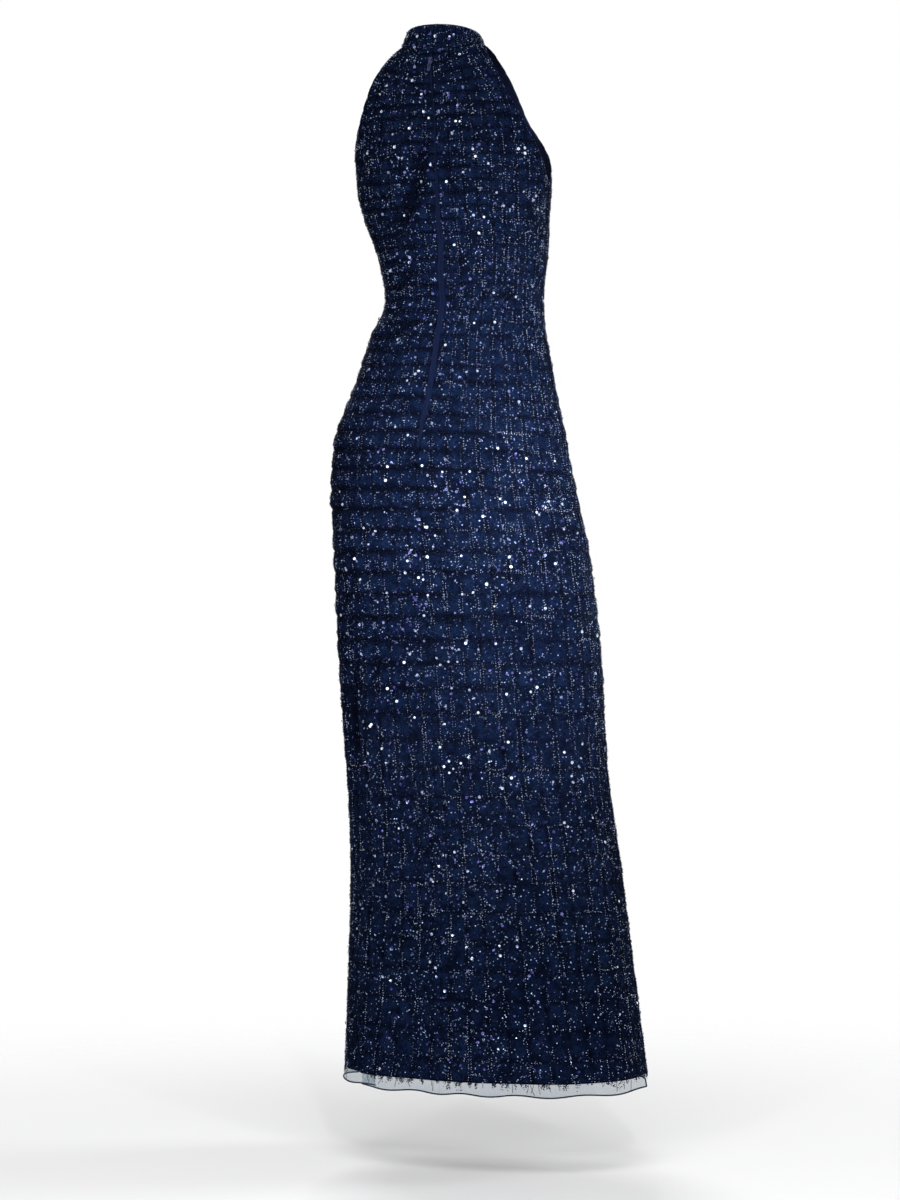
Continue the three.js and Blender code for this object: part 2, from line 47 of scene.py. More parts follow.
# Settings of the studio, with its angles in degrees
studio = {
    "azimuth": 200.0,
    "distance": 4.6,
    "height": -0.806,
    "aside": 0.0095,
    "lens": 94.1,
    "sensor": 36.0,
    "floorHeight": -1.62,
    "floorRadius": 2.8,
    "floorFade": (0.2, 1.8),
    "backdrop": 1.0,
    "dimRoom": 0.12,
    "floorColour": (0.93, 0.93, 0.935, 1),
    "floorRough": 0.9,
    "roomColour": (1, 1, 1, 1),
    # name, azimuth, distance, height, width, tall, watts, spread
    "lamps": [
        ("keySoftbox", 240, 2.1, -1.10, 0.8, 0.9, 6, 180),
        ("fillSoftbox", 170, 2.2, -1.50, 0.8, 0.9, 25, 180),
        ("gridSoftbox", 217, 4.7, -0.30, 0.5, 0.5, 4.3, 14),
        ("topSoftbox", 198, 1.3, 1.05, 1.6, 0.9, 24, 180),
        ("frontSoftbox", 30, 3.8, 0.6, 1.8, 2.0, 90, 180),
        ("sideSoftbox", 300, 3.8, 0.4, 1.2, 1.8, 55, 180),
        ("glintHigh", 206, 3.9, 0.9, 0.16, 0.16, 30, 180),
        ("glintRight", 228, 3.4, -0.2, 0.14, 0.14, 18, 180),
        ("glintLeft", 178, 3.4, -0.4, 0.14, 0.14, 16, 180),
        ("glintLow", 205, 4.3, -1.2, 0.14, 0.14, 16, 180),
        ("glintFront", 15, 3.6, 0.3, 0.16, 0.16, 18, 180),
    ],
    "lampTarget": (-0.03, 0, -0.64),
}


def aroundGown(azimuth, distance, height):
    turn = math.radians(azimuth)
    return (distance * math.sin(turn), -distance * math.cos(turn), height)


def aimAt(piece, target):
    direction = np.array(target) - np.array(piece.location)
    flat = math.hypot(direction[0], direction[1])
    piece.rotation_euler = (
        math.pi / 2 + math.atan2(direction[2], flat),
        0,
        math.atan2(-direction[0], direction[1]),
    )


# Shader nodes
def putSocket(tree, socket, value):
    # An output is linked to the socket, and anything else is the socket's value
    if isinstance(value, bpy.types.NodeSocket):
        tree.links.new(value, socket)
    else:
        socket.default_value = value


def setSockets(tree, node, *first, **named):
    for socket, value in zip(node.inputs, first):
        putSocket(tree, socket, value)
    for label, value in named.items():
        putSocket(tree, node.inputs[label.replace("_", " ")], value)


def addNode(tree, kind, *first, **named):
    node = tree.nodes.new("ShaderNode" + kind)
    setSockets(tree, node, *first, **named)
    return node


def mathNode(tree, operation, *values):
    node = addNode(tree, "Math")
    node.operation = operation
    setSockets(tree, node, *values)
    return node.outputs[0]


def vectorNode(tree, operation, *values, **named):
    node = addNode(tree, "VectorMath")
    node.operation = operation
    setSockets(tree, node, *values, **named)
    return node.outputs["Value" if operation == "LENGTH" else "Vector"]


def rampNode(tree, factor, stops):
    node = addNode(tree, "ValToRGB", Fac=factor)
    ramp = node.color_ramp
    while len(ramp.elements) < len(stops):
        ramp.elements.new(0.5)
    for element, (position, colour) in zip(ramp.elements, stops):
        element.position = position
        element.color = (*colour, 1)
    return node.outputs["Color"]


def mixColours(tree, factor, below, colour):
    node = addNode(tree, "Mix")
    node.data_type = "RGBA"
    tree.links.new(factor, node.inputs["Factor"])
    base, over = [socket for socket in node.inputs if socket.type == "RGBA"]
    tree.links.new(below, base)
    over.default_value = (*colour, 1)
    return next(socket for socket in node.outputs if socket.type == "RGBA")


def attributeNode(tree, name):
    node = addNode(tree, "Attribute")
    node.attribute_name = name
    return node.outputs["Fac"]


def objectPlace(tree):
    return addNode(tree, "TexCoord").outputs["Object"]


def newMaterial(name):
    material = bpy.data.materials.new(name)
    material.use_nodes = True
    tree = material.node_tree
    return material, tree, tree.nodes["Principled BSDF"]


def newGroup(name, inputs, outputs):
    # Inputs have their usual values, and one with none is a vector. Outputs have their kinds.
    group = bpy.data.node_groups.new(name, "ShaderNodeTree")
    for label, value in inputs.items():
        kind = "NodeSocketVector" if value is None else "NodeSocketFloat"
        socket = group.interface.new_socket(label, in_out="INPUT", socket_type=kind)
        if value is not None:
            socket.default_value = value
    for label, kind in outputs.items():
        group.interface.new_socket(label, in_out="OUTPUT", socket_type="NodeSocket" + kind)
    return group, group.nodes.new("NodeGroupInput").outputs, group.nodes.new("NodeGroupOutput").inputs


def placeGroup(tree, group, **values):
    node = tree.nodes.new("ShaderNodeGroup")
    node.node_tree = group
    setSockets(tree, node, **values)
    return node.outputs


# Camera, lights and floor
def placeCamera():
    azimuth, height = studio["azimuth"], studio["height"]
    camera = bpy.data.objects.new("camera", bpy.data.cameras.new("camera"))
    scene.collection.objects.link(camera)
    turn = math.radians(azimuth)
    aside = studio["aside"] * np.array((math.cos(turn), math.sin(turn), 0))
    camera.location = np.array(aroundGown(azimuth, studio["distance"], height)) + aside
    aimAt(camera, aside + np.array((0, 0, height)))
    camera.data.sensor_fit = "VERTICAL"
    camera.data.sensor_height = studio["sensor"]
    camera.data.lens = studio["lens"]
    scene.camera = camera


def placeLamps():
    x, y, z = studio["lampTarget"]
    for name, azimuth, distance, height, width, tall, watts, spread in studio["lamps"]:
        light = bpy.data.lights.new(name, "AREA")
        light.shape = "RECTANGLE"
        light.size = width
        light.size_y = tall
        light.energy = watts
        light.spread = math.radians(spread)
        lamp = bpy.data.objects.new(name, light)
        scene.collection.objects.link(lamp)
        lamp.location = aroundGown(azimuth, distance, height)
        aimAt(lamp, (x, y, min(z, height)))


def placeFloor():
    bpy.ops.object.select_all(action="DESELECT")
    bpy.ops.mesh.primitive_circle_add(
        vertices=96, radius=studio["floorRadius"], fill_type="NGON", location=(0, 0, studio["floorHeight"]))
    floor = bpy.context.object
    floor.name = "studioFloor"
    # The floor fades out into the pale backdrop, so it has no edge
    paint, tree, shader = newMaterial("floorPaint")
    near, far = studio["floorFade"]
    fade = addNode(tree, "MapRange", From_Min=near, From_Max=far, To_Min=1, To_Max=0,
                   Value=vectorNode(tree, "LENGTH", objectPlace(tree)))
    fade.interpolation_type = "SMOOTHSTEP"
    setSockets(tree, shader, Base_Color=studio["floorColour"], Roughness=studio["floorRough"],
               Alpha=fade.outputs["Result"])
    floor.data.materials.append(paint)


def lightRoom():
    world = bpy.data.worlds.new("studioWorld")
    scene.world = world
    world.use_nodes = True
    tree = world.node_tree
    room = tree.nodes["Background"]
    setSockets(tree, room, Color=studio["roomColour"], Strength=studio["dimRoom"])
    backdrop = addNode(tree, "Background", Color=studio["roomColour"], Strength=studio["backdrop"])
    seen = addNode(tree, "LightPath").outputs["Is Camera Ray"]
    either = addNode(tree, "MixShader", seen, room.outputs[0], backdrop.outputs[0])
    tree.links.new(either.outputs[0], tree.nodes["World Output"].inputs["Surface"])
    scene.view_settings.view_transform = "Standard"


placeCamera()
placeLamps()
placeFloor()
lightRoom()
print("gown: studio made")


# Materials
beadwork = {"waverScale": 110, "reach": 0.5, "core": 0.36}
weave = {"distortion": 0.6, "threadAbove": 0.72, "height": 0.0003}


def makeGridGroup():
    # Masks of the windowpane grid, from the grid coordinates: whole numbers lie on the bead lines
    group, given, result = newGroup(
        "windowpaneGrid", {"Grid": None, "Column Band": 0.16, "Row Band": 0.1, "Waver": 0.05},
        {"Column": "Float", "Row": "Float"})
    apart = addNode(group, "SeparateXYZ", given["Grid"]).outputs
    noise = addNode(group, "TexNoise", Vector=objectPlace(group), Scale=beadwork["waverScale"])
    uneven = mathNode(group, "SUBTRACT", noise.outputs["Fac"], 0.5)
    shift = mathNode(group, "MULTIPLY", uneven, given["Waver"])
    for axis, line in (("X", "Column"), ("Y", "Row")):
        wavered = mathNode(group, "ADD", mathNode(group, "PINGPONG", apart[axis], 0.5), shift)
        share = mathNode(group, "DIVIDE", wavered, given[line + " Band"])
        mask = mathNode(group, "SUBTRACT", 1.0, mathNode(group, "MULTIPLY", share, share))
        group.links.new(mathNode(group, "MAXIMUM", mask, 0.0), result[line])
    return group


def makeBeadworkGroup():
    # Beads too small to model: dark blots of every depth, and light facets turned every way, whose light
    # colour is partly light beads and partly a painted highlight
    group, given, result = newGroup(
        "fineBeadwork", {"Surface Normal": None, "Cells": 420.0, "Tilt": 0.8, "Dark": 0.5, "Light": 0.94},
        {"Facet Normal": "Vector", "Blot": "Float", "Spark": "Float"})
    cells = addNode(group, "TexVoronoi", Vector=objectPlace(group), Scale=given["Cells"]).outputs
    apart = addNode(group, "SeparateColor", cells["Color"]).outputs
    near = mathNode(group, "LESS_THAN", cells["Distance"], beadwork["reach"])
    core = mathNode(group, "LESS_THAN", cells["Distance"], beadwork["core"])
    for channel, mask, least, label in ((0, near, "Dark", "Blot"), (1, core, "Light", "Spark")):
        spread = addNode(group, "MapRange", Value=apart[channel], From_Min=given[least])
        group.links.new(mathNode(group, "MULTIPLY", mask, spread.outputs["Result"]), result[label])
    middle = vectorNode(group, "SUBTRACT", cells["Color"], (0.5, 0.5, 0.5))
    tilt = vectorNode(group, "SCALE", middle, Scale=mathNode(group, "MULTIPLY", near, given["Tilt"]))
    both = vectorNode(group, "ADD", given["Surface Normal"], tilt)
    group.links.new(vectorNode(group, "NORMALIZE", both), result["Facet Normal"])
    return group


def makeShadeGroup():
    # Slow unevenness of tone over a piece, from 0 to 1
    group, given, result = newGroup("slowTone", {"Size": 9.0}, {"Tone": "Float"})
    noise = addNode(group, "TexNoise", Vector=objectPlace(group), Scale=given["Size"], Detail=3)
    group.links.new(noise.outputs["Fac"], result["Tone"])
    return group


def makeNetGroup():
    # A fine net of crossed threads. It gives a height for the bump and a thread mask.
    group, given, result = newGroup("fineNet", {"Threads": 900.0}, {"Height": "Float", "Thread": "Float"})
    heights = []
    for axis in ("X", "Z"):
        wave = addNode(group, "TexWave", Vector=objectPlace(group), Scale=given["Threads"],
                       Distortion=weave["distortion"], Detail=1)
        wave.bands_direction = axis
        heights.append(wave.outputs["Fac"])
    high = mathNode(group, "MAXIMUM", *heights)
    group.links.new(high, result["Height"])
    group.links.new(mathNode(group, "GREATER_THAN", high, weave["threadAbove"]), result["Thread"])
    return group


gridGroup = makeGridGroup()
beadworkGroup = makeBeadworkGroup()
shadeGroup = makeShadeGroup()
netGroup = makeNetGroup()


def beadedMaterial(name, look):
    material, tree, shader = newMaterial(name)
    gridPlace = addNode(tree, "UVMap")
    gridPlace.uv_map = "grid"
    grid = placeGroup(tree, gridGroup, Grid=gridPlace.outputs["UV"], Column_Band=look["columnBand"],
                      Row_Band=look["rowBand"], Waver=look["waver"])
    work = placeGroup(tree, beadworkGroup, Surface_Normal=addNode(tree, "NewGeometry").outputs["Normal"],
                      Cells=look["cells"], Tilt=look["tilt"], Dark=look["dark"], Light=look["light"])
    tone = placeGroup(tree, shadeGroup, Size=look["toneSize"])["Tone"]
    patches = placeGroup(tree, shadeGroup, Size=look["patchSize"])["Tone"]
    # The bead lines of the grid, with painted shade along the rows, the blots and the patches darken the
    # net, and painted shade darkens the creases
    broken = mathNode(tree, "MULTIPLY_ADD", patches, *look["columnBreaks"])
    lines = mathNode(tree, "MAXIMUM", mathNode(tree, "MULTIPLY", grid["Column"], broken),
                     mathNode(tree, "MULTIPLY", grid["Row"], look["rowBeadsAndShade"]))
    dimmed = mathNode(tree, "MAXIMUM", mathNode(tree, "MAXIMUM", lines, work["Blot"]),
                      rampNode(tree, patches, look["patches"]))
    deep = mathNode(tree, "MULTIPLY", attributeNode(tree, "crease"), look["creaseShadeStrength"])
    shaded = mixColours(tree, dimmed, rampNode(tree, tone, look["colours"]), look["deepColour"])
    creaseShadedColour = mixColours(tree, deep, shaded, look["deepColour"])
    # Painted shade: sparks are dimmed on the lines and in the creases
    seen = mathNode(tree, "MULTIPLY_ADD", mathNode(tree, "MAXIMUM", deep, lines), -look["sparkShadeDim"], 1.0)
    spark = mathNode(tree, "MULTIPLY", mathNode(tree, "POWER", work["Spark"], look["sparkPower"]), seen)
    rough, metal = look["beadRough"] - look["netRough"], look["metal"]
    setSockets(
        tree, shader, Base_Color=mixColours(tree, spark, creaseShadedColour, look["sparkColour"]),
        Roughness=mathNode(tree, "MULTIPLY_ADD", spark, rough, look["netRough"]),
        Metallic=mathNode(tree, "MULTIPLY", spark, metal), Normal=work["Facet Normal"],
        Specular_IOR_Level=look["specular"])
    return material


def glassMaterial(name, look):
    # Loose beads and sequins: each has a tone of its own, and its facets catch the light. Their lightest
    # tones are partly silvery beads and partly a painted highlight.
    material, tree, shader = newMaterial(name)
    tone = attributeNode(tree, "tone")
    setSockets(
        tree, shader, Base_Color=rampNode(tree, tone, look["colours"]),
        Roughness=mathNode(tree, "MULTIPLY_ADD", tone, look["roughSpread"], look["rough"]),
        Metallic=look["metal"], Specular_IOR_Level=look["specular"])
    return material


def metalMaterial(name, look):
    material, tree, shader = newMaterial(name)
    tone = placeGroup(tree, shadeGroup, Size=look["toneSize"])["Tone"]
    setSockets(
        tree, shader, Base_Color=rampNode(tree, tone, look["colours"]),
        Roughness=mathNode(tree, "MULTIPLY_ADD", tone, look["roughSpread"], look["rough"]),
        Metallic=look["metal"], Coat_Weight=look["coat"], Coat_Roughness=look["coatRough"])
    return material


def clothMaterial(name, look):
    material, tree, shader = newMaterial(name)
    tone = placeGroup(tree, shadeGroup, Size=look["toneSize"])["Tone"]
    net = placeGroup(tree, netGroup, Threads=look["threads"])
    bump = addNode(tree, "Bump", Strength=look["bump"], Distance=weave["height"], Height=net["Height"])
    setSockets(
        tree, shader, Base_Color=rampNode(tree, tone, look["colours"]), Normal=bump.outputs["Normal"],
        Roughness=look["rough"], Specular_IOR_Level=look["specular"])
    if "alpha" in look:
        low, high = look["alpha"]
        setSockets(tree, shader, Alpha=mathNode(tree, "MULTIPLY_ADD", net["Thread"], high - low, low))
    return material


finishes = {
    "beadedNet": beadedMaterial("beadedNet", {
        "columnBand": 0.25, "rowBand": 0.15, "waver": 0.10, "columnBreaks": (2.0, -0.3), "rowBeadsAndShade": 0.72,
        "cells": 420, "tilt": 0.6, "dark": 0.10, "light": 0.88, "creaseShadeStrength": 0.85,
        "toneSize": 9, "beadRough": 0.3, "netRough": 0.85, "metal": 0.5, "specular": 0.02,
        "patchSize": 75, "patches": [(0.40, (0.0, 0.0, 0.0)), (0.64, (0.78, 0.78, 0.78))],
        "colours": [(0.3, (0.0020, 0.0059, 0.0225)), (0.7, (0.0034, 0.0090, 0.0315))],
        "deepColour": (0.0003, 0.0006, 0.0030), "sparkColour": (0.42, 0.53, 0.80),
        "sparkPower": 1.7, "sparkShadeDim": 0.85}),
    "lining": clothMaterial("lining", {
        "toneSize": 6, "threads": 1500, "bump": 0.15, "rough": 0.50, "specular": 0.18,
        "colours": [(0.35, (0.0058, 0.0088, 0.032)), (0.65, (0.0085, 0.0128, 0.044))]}),
    "plainNet": clothMaterial("plainNet", {
        "toneSize": 30, "threads": 1300, "bump": 0.5, "rough": 0.75, "specular": 0.04,
        "colours": [(0.3, (0.0018, 0.0041, 0.0165)), (0.7, (0.0028, 0.0058, 0.0225))]}),
    "sheerNet": clothMaterial("sheerNet", {
        "toneSize": 20, "threads": 700, "bump": 0.3, "rough": 0.7, "specular": 0.05, "alpha": (0.23, 0.25),
        "colours": [(0.3, (0.018, 0.085, 0.150)), (0.7, (0.026, 0.105, 0.180))]}),
    "overlock": clothMaterial("overlock", {
        "toneSize": 60, "threads": 1600, "bump": 0.8, "rough": 0.65, "specular": 0.15,
        "colours": [(0.3, (0.003, 0.005, 0.020)), (0.7, (0.006, 0.010, 0.034))]}),
    "seedBeads": glassMaterial("seedBeads", {
        "metal": 0.45, "rough": 0.38, "roughSpread": -0.12, "specular": 0.03,
        "colours": [(0.0, (0.0007, 0.0018, 0.0070)), (0.66, (0.0018, 0.0050, 0.018)),
                    (0.78, (0.010, 0.020, 0.055)), (0.85, (0.12, 0.16, 0.29)),
                    (0.92, (0.53, 0.65, 0.92)), (1.0, (0.88, 0.95, 1.0))]}),
    "sequins": glassMaterial("sequins", {
        "metal": 0.5, "rough": 0.30, "roughSpread": -0.08, "specular": 0.05,
        "colours": [(0.0, (0.0012, 0.003, 0.011)), (0.58, (0.006, 0.010, 0.038)),
                    (0.70, (0.045, 0.038, 0.19)), (0.80, (0.13, 0.13, 0.38)),
                    (0.87, (0.50, 0.60, 0.86)), (1.0, (0.86, 0.94, 1.0))]}),
    "zipLacquer": metalMaterial("zipLacquer", {
        "toneSize": 300, "metal": 0.4, "coat": 0.5, "coatRough": 0.15, "rough": 0.35, "roughSpread": 0.2,
        "colours": [(0.35, (0.010, 0.015, 0.055)), (0.65, (0.018, 0.025, 0.080))]}),
}
print("gown: finishes made", len(finishes))


# The gown's form, from the same sizes as its solids
cloth = {
    "thickness": 0.0016,
    "beadedEdge": -1.488,
    "hem": -1.505,
    "underarm": -0.196,
    "firstBeadRow": -0.0155,
    "neckSideRise": 0.007,
    "neckBackDip": 0.022,
    "neckFrontDip": 0.032,
    "neckDipReach": 0.110,
    "columnsAround": 41,
    "hipLevel": -0.65,
}

sections = (("level", "shift", "side", "back", "front", "roundness", "pucker"), np.array([
    (0, 0, 0.060, 0.060, -0.058, 2.1, 0.0005),
    (-0.022, -0.001, 0.087, 0.067, -0.065, 2.15, 0.0008),
    (-0.064, -0.005, 0.126, 0.076, -0.078, 2.25, 0.0009),
    (-0.106, -0.009, 0.141, 0.080, -0.090, 2.3, 0.001),
    (-0.150, -0.010, 0.146, 0.082, -0.102, 2.3, 0.001),
    (-0.200, -0.011, 0.145, 0.080, -0.110, 2.3, 0.001),
    (-0.240, -0.013, 0.139, 0.074, -0.112, 2.3, 0.001),
    (-0.300, -0.022, 0.127, 0.063, -0.106, 2.3, 0.001),
    (-0.365, -0.025, 0.118, 0.057, -0.099, 2.3, 0.001),
    (-0.430, -0.016, 0.134, 0.067, -0.104, 2.3, 0.0012),
    (-0.500, -0.015, 0.151, 0.092, -0.108, 2.3, 0.0013),
    (-0.570, -0.013, 0.171, 0.116, -0.108, 2.3, 0.0015),
    (-0.650, -0.020, 0.182, 0.129, -0.106, 2.3, 0.0015),
    (-0.750, -0.032, 0.190, 0.126, -0.107, 2.35, 0.0015),
    (-0.900, -0.041, 0.196, 0.113, -0.111, 2.35, 0.0014),
    (-1.050, -0.050, 0.195, 0.112, -0.116, 2.35, 0.0012),
    (-1.200, -0.064, 0.202, 0.119, -0.124, 2.35, 0.001),
    (-1.350, -0.072, 0.213, 0.132, -0.138, 2.3, 0.001),
    (-1.520, -0.080, 0.226, 0.150, -0.160, 2.3, 0.0008),
]))

armholes = (("level", "back", "front"), np.array([
    (0, 90, 90), (-0.008, 80, 78), (-0.022, 70, 66), (-0.064, 65, 57), (-0.090, 67, 56),
    (-0.142, 76, 67), (-0.174, 84, 80), (-0.196, 90, 90),
]))

seams = (("level", "centre", "left", "right"), np.array([
    (0, 3, -90, 90), (-0.100, 4, -90, 90), (-0.200, 5, -90, 90), (-0.300, -2, -89, 90),
    (-0.345, -5, -88, 90), (-0.425, -1, -86, 90), (-0.500, -1, -83, 90), (-0.560, -2.6, -80, 90),
    (-0.610, -4.6, -77, 90), (-0.750, -8.5, -71, 91), (-0.932, -11, -62, 92),
    (-1.040, -12, -57, 93), (-1.340, -12, -56, 94), (-1.520, -12, -49, 95),
]))

rowSpacing = (("level", "pitch"), np.array([
    (0, 0.0185), (-0.400, 0.0185), (-0.440, 0.023), (-0.535, 0.025), (-0.600, 0.028),
    (-0.750, 0.031), (-0.900, 0.035), (-1.010, 0.040), (-1.500, 0.042),
]))

# top, bottom, angle at the top, angle at the bottom, width in degrees, depth
folds = [
    (-0.130, -0.290, -7, -31, 6, 0.0032), (-0.470, -0.640, 38, 20, 9, 0.0025),
    (-0.640, -0.900, -2, 4, 12, 0.004), (-0.900, -1.620, -30, -28, 10, 0.005),
    (-0.930, -1.620, 24, 30, 11, 0.006), (-1.000, -1.620, 66, 62, 9, 0.004),
    (-0.700, -1.620, 128, 132, 12, 0.006), (-0.860, -1.620, 176, 170, 12, 0.007),
    (-0.760, -1.620, 228, 222, 13, 0.006), (-1.040, -1.620, 262, 266, 10, 0.005),
]
foldFade = 0.3
cup = {"level": -0.236, "angle": 31, "height": 0.015, "spreadAngle": 19, "spreadLevel": 0.048}
rowLean = {"level": -0.540, "drop": 0.006, "spread": 0.150}
slit = {"top": -0.932, "open": 0.070, "lapLength": 0.120, "lap": 0.013, "spread": 0.0046,
        "spreadAngle": 13, "parting": 0.0016, "partLength": 0.040}
strip = {"end": -0.592, "widenLevel": -0.150, "widenLength": 0.150, "top": 0.0014, "wide": 0.0044,
         "tip": 0.0012, "taper": 0.050, "proud": 0.0002, "rounding": 0.0004,
         "seamGap": 0.00012, "edgeGap": 0.0001, "points": 5, "cutWidth": 0.010, "meanWidth": 0.0034}


def readTable(table, column, level):
    names, rows = table
    x = -rows[:, 0]
    y = rows[:, names.index(column)]
    depth = np.clip(-np.asarray(level, float), x[0], x[-1])
    k = np.clip(np.searchsorted(x, depth, side="right") - 1, 0, len(x) - 2)
    slope = np.diff(y) / np.diff(x)
    above, below = slope[:-1], slope[1:]
    total = np.where(above * below > 0, above + below, 1)
    middle = np.where(above * below > 0, 2 * above * below / total, 0)
    tangent = np.concatenate([slope[:1], middle, slope[-1:]])
    run = (x[1:] - x[:-1])[k]
    t = (depth - x[k]) / run
    return (y[k] * (1 + 2 * t) * (1 - t) ** 2 + tangent[k] * run * t * (1 - t) ** 2
            + y[k + 1] * t * t * (3 - 2 * t) + tangent[k + 1] * run * t * t * (t - 1))


def sinDeg(angle):
    return np.sin(np.radians(angle))


def cosDeg(angle):
    return np.cos(np.radians(angle))


def smooth(value):
    held = np.clip(value, 0, 1)
    return held * held * (3 - 2 * held)


def bell(offset, spread):
    return np.exp(-((offset / spread) ** 2))


def wrapped(angle):
    return np.mod(angle + 180, 360) - 180


def foldDepth(angle, level):
    depth = 0
    for top, bottom, topAngle, bottomAngle, width, deep in folds:
        along = np.clip((level - top) / (bottom - top), 0, 1)
        centre = topAngle + (bottomAngle - topAngle) * along
        fade = smooth(along / foldFade) * smooth((1 - along) / foldFade)
        depth = depth + deep * fade * bell(wrapped(angle - centre), width)
    return depth


def neckRise(angle):
    dip = np.where(cosDeg(angle) > 0, cloth["neckBackDip"], cloth["neckFrontDip"])
    return cloth["neckSideRise"] - dip * cosDeg(angle) ** 2


def ringRadius(angle, side, depth, roundness):
    across = np.abs(sinDeg(angle)) / side
    along = np.abs(cosDeg(angle)) / depth
    return (across ** roundness + along ** roundness) ** (-1 / roundness)


def clothPoint(angle, level, relief=0.0):
    back = readTable(sections, "back", level)
    front = readTable(sections, "front", level)
    radius = ringRadius(angle, readTable(sections, "side", level), (back - front) / 2,
                        readTable(sections, "roundness", level))
    across = np.abs(wrapped(angle - 180)) - cup["angle"]
    radius = radius + cup["height"] * bell(across, cup["spreadAngle"]) * bell(
        level - cup["level"], cup["spreadLevel"])
    radius = radius - foldDepth(angle, level) + relief
    bend = smooth(1 + level / cloth["neckDipReach"])
    lean = rowLean["drop"] * bell(level - rowLean["level"], rowLean["spread"]) * sinDeg(angle)
    return np.stack([
        readTable(sections, "shift", level) - radius * sinDeg(angle),
        (back + front) / 2 + radius * cosDeg(angle),
        level + neckRise(angle) * bend - lean,
    ], axis=-1)


def normalOf(surface, angle, level):
    across = surface(angle + 0.5, level) - surface(angle - 0.5, level)
    down = surface(angle, level - 0.001) - surface(angle, level + 0.001)
    normal = np.cross(down, across)
    return normal / np.linalg.norm(normal, axis=-1, keepdims=True)


def gapAngle(level, distance):
    depth = (readTable(sections, "back", level) - readTable(sections, "front", level)) / 2
    return np.degrees(distance / depth)


def beadRowLevels():
    rows = [cloth["firstBeadRow"]]
    while rows[-1] > cloth["beadedEdge"]:
        rows.append(rows[-1] - float(readTable(rowSpacing, "pitch", rows[-1])))
    return np.array(rows[:-1])


beadRows = beadRowLevels()
print("gown: bead rows", len(beadRows))


# Creases, as paths of angle and level. Each is a soft trough with a lip beside it, and it fades in
# over a quarter of its path and out over a third.
creaseForm = {"girthShare": 0.8, "fadeIn": 4, "fadeOut": 3, "lip": 0.45}
creases = [
    {"path": [(-5, -0.140), (-11, -0.176), (-14, -0.204), (-24, -0.230), (-36, -0.262), (-50, -0.290)],
     "width": 0.0115, "depth": 0.0072},
    {"path": [(-14, -0.150), (-24, -0.192), (-38, -0.226)], "width": 0.008, "depth": 0.0034},
    {"path": [(10, -0.150), (16, -0.200), (22, -0.262)], "width": 0.008, "depth": 0.0020},
    {"path": [(-30, -0.330), (-52, -0.352), (-74, -0.362)], "width": 0.008, "depth": 0.0038},
    {"path": [(24, -0.345), (48, -0.362), (70, -0.366)], "width": 0.007, "depth": 0.0022},
    {"path": [(-20, -0.392), (-44, -0.420), (-66, -0.430)], "width": 0.009, "depth": 0.0036},
    {"path": [(-56, -0.890), (-63, -0.950), (-66, -1.060)], "width": 0.012, "depth": 0.0060},
    {"path": [(-44, -0.870), (-50, -0.930), (-53, -0.990)], "width": 0.010, "depth": 0.0040},
    {"path": [(150, -0.300), (168, -0.335), (190, -0.352)], "width": 0.008, "depth": 0.0024},
    {"path": [(202, -0.318), (220, -0.348), (238, -0.362)], "width": 0.007, "depth": 0.0026},
    {"path": [(140, -0.372), (156, -0.395), (176, -0.405)], "width": 0.008, "depth": 0.0022},
    {"path": [(118, -0.190), (132, -0.170), (146, -0.140)], "width": 0.008, "depth": 0.0026},
    {"path": [(242, -0.190), (228, -0.170), (214, -0.140)], "width": 0.008, "depth": 0.0026},
    {"path": [(200, -0.930), (206, -0.985), (204, -1.060)], "width": 0.011, "depth": 0.0040},
    {"path": [(150, -0.900), (146, -0.960), (149, -1.050)], "width": 0.011, "depth": 0.0036},
]


def creaseDepth(angle, level):
    depth = np.zeros(np.broadcast(angle, level).shape)
    radius = readTable(sections, "side", level) * creaseForm["girthShare"]
    for crease in creases:
        path, width = crease["path"], crease["width"]
        nearest = np.full(depth.shape, np.inf)
        place = np.zeros(depth.shape)
        for part, ((a0, l0), (a1, l1)) in enumerate(zip(path, path[1:])):
            x = np.radians(wrapped(angle - a0)) * radius
            y = level - l0
            dx = math.radians(a1 - a0) * radius
            dy = l1 - l0
            t = np.clip((x * dx + y * dy) / (dx * dx + dy * dy), 0, 1)
            distance = np.hypot(x - t * dx, y - t * dy)
            closer = distance < nearest
            nearest = np.where(closer, distance, nearest)
            place = np.where(closer, (part + t) / (len(path) - 1), place)
        taper = smooth(place * creaseForm["fadeIn"]) * smooth((1 - place) * creaseForm["fadeOut"])
        trough = bell(nearest, width) - creaseForm["lip"] * bell(nearest - 2 * width, width)
        depth = depth + crease["depth"] * taper * trough
    return depth


# Between two bead rows the cloth puffs out and sags over the lower row, most of all on the hips' left
gather = {
    "rise": 1.8, "usual": 0.42, "least": 0.05, "most": 1.35, "uneven": 0.55,
    "shadowGain": 1.15, "shadowLoss": 0.05, "lowLevel": -0.85, "lowRun": 0.3, "lowFade": 0.7,
    "creaseDeep": 0.0045, "creaseShadeStrength": 0.8,
    # share of the way down from a row to the next, how far the cloth stands out there, and how dark its
    # painted shade is there
    "steps": (0.0, 0.17, 0.42, 0.7, 0.86, 1.0),
    "shape": (0.0, 0.55, 0.9, 1.0, 0.76, 0.0),
    "shadow": (1.0, 0.62, 0.08, 0.0, 0.40, 1.0),
    # angle, its spread in degrees, level, its spread, strength
    "zones": [(-38, 46, -0.70, 0.25, 0.95), (-34, 40, -0.34, 0.16, 0.40), (20, 50, -0.55, 0.12, 0.18),
              (10, 60, -0.13, 0.10, 0.40), (150, 50, -0.70, 0.25, 0.60), (222, 45, -0.62, 0.22, 0.65)],
}
# turns, phase, climb, offset
waves = [(dice.uniform(3, 12), dice.uniform(0, 360), dice.uniform(60, 170), dice.uniform(0, 6))
         for _ in range(7)]
rowEdges = np.concatenate([[0.0], beadRows, [cloth["beadedEdge"] - 0.001]])


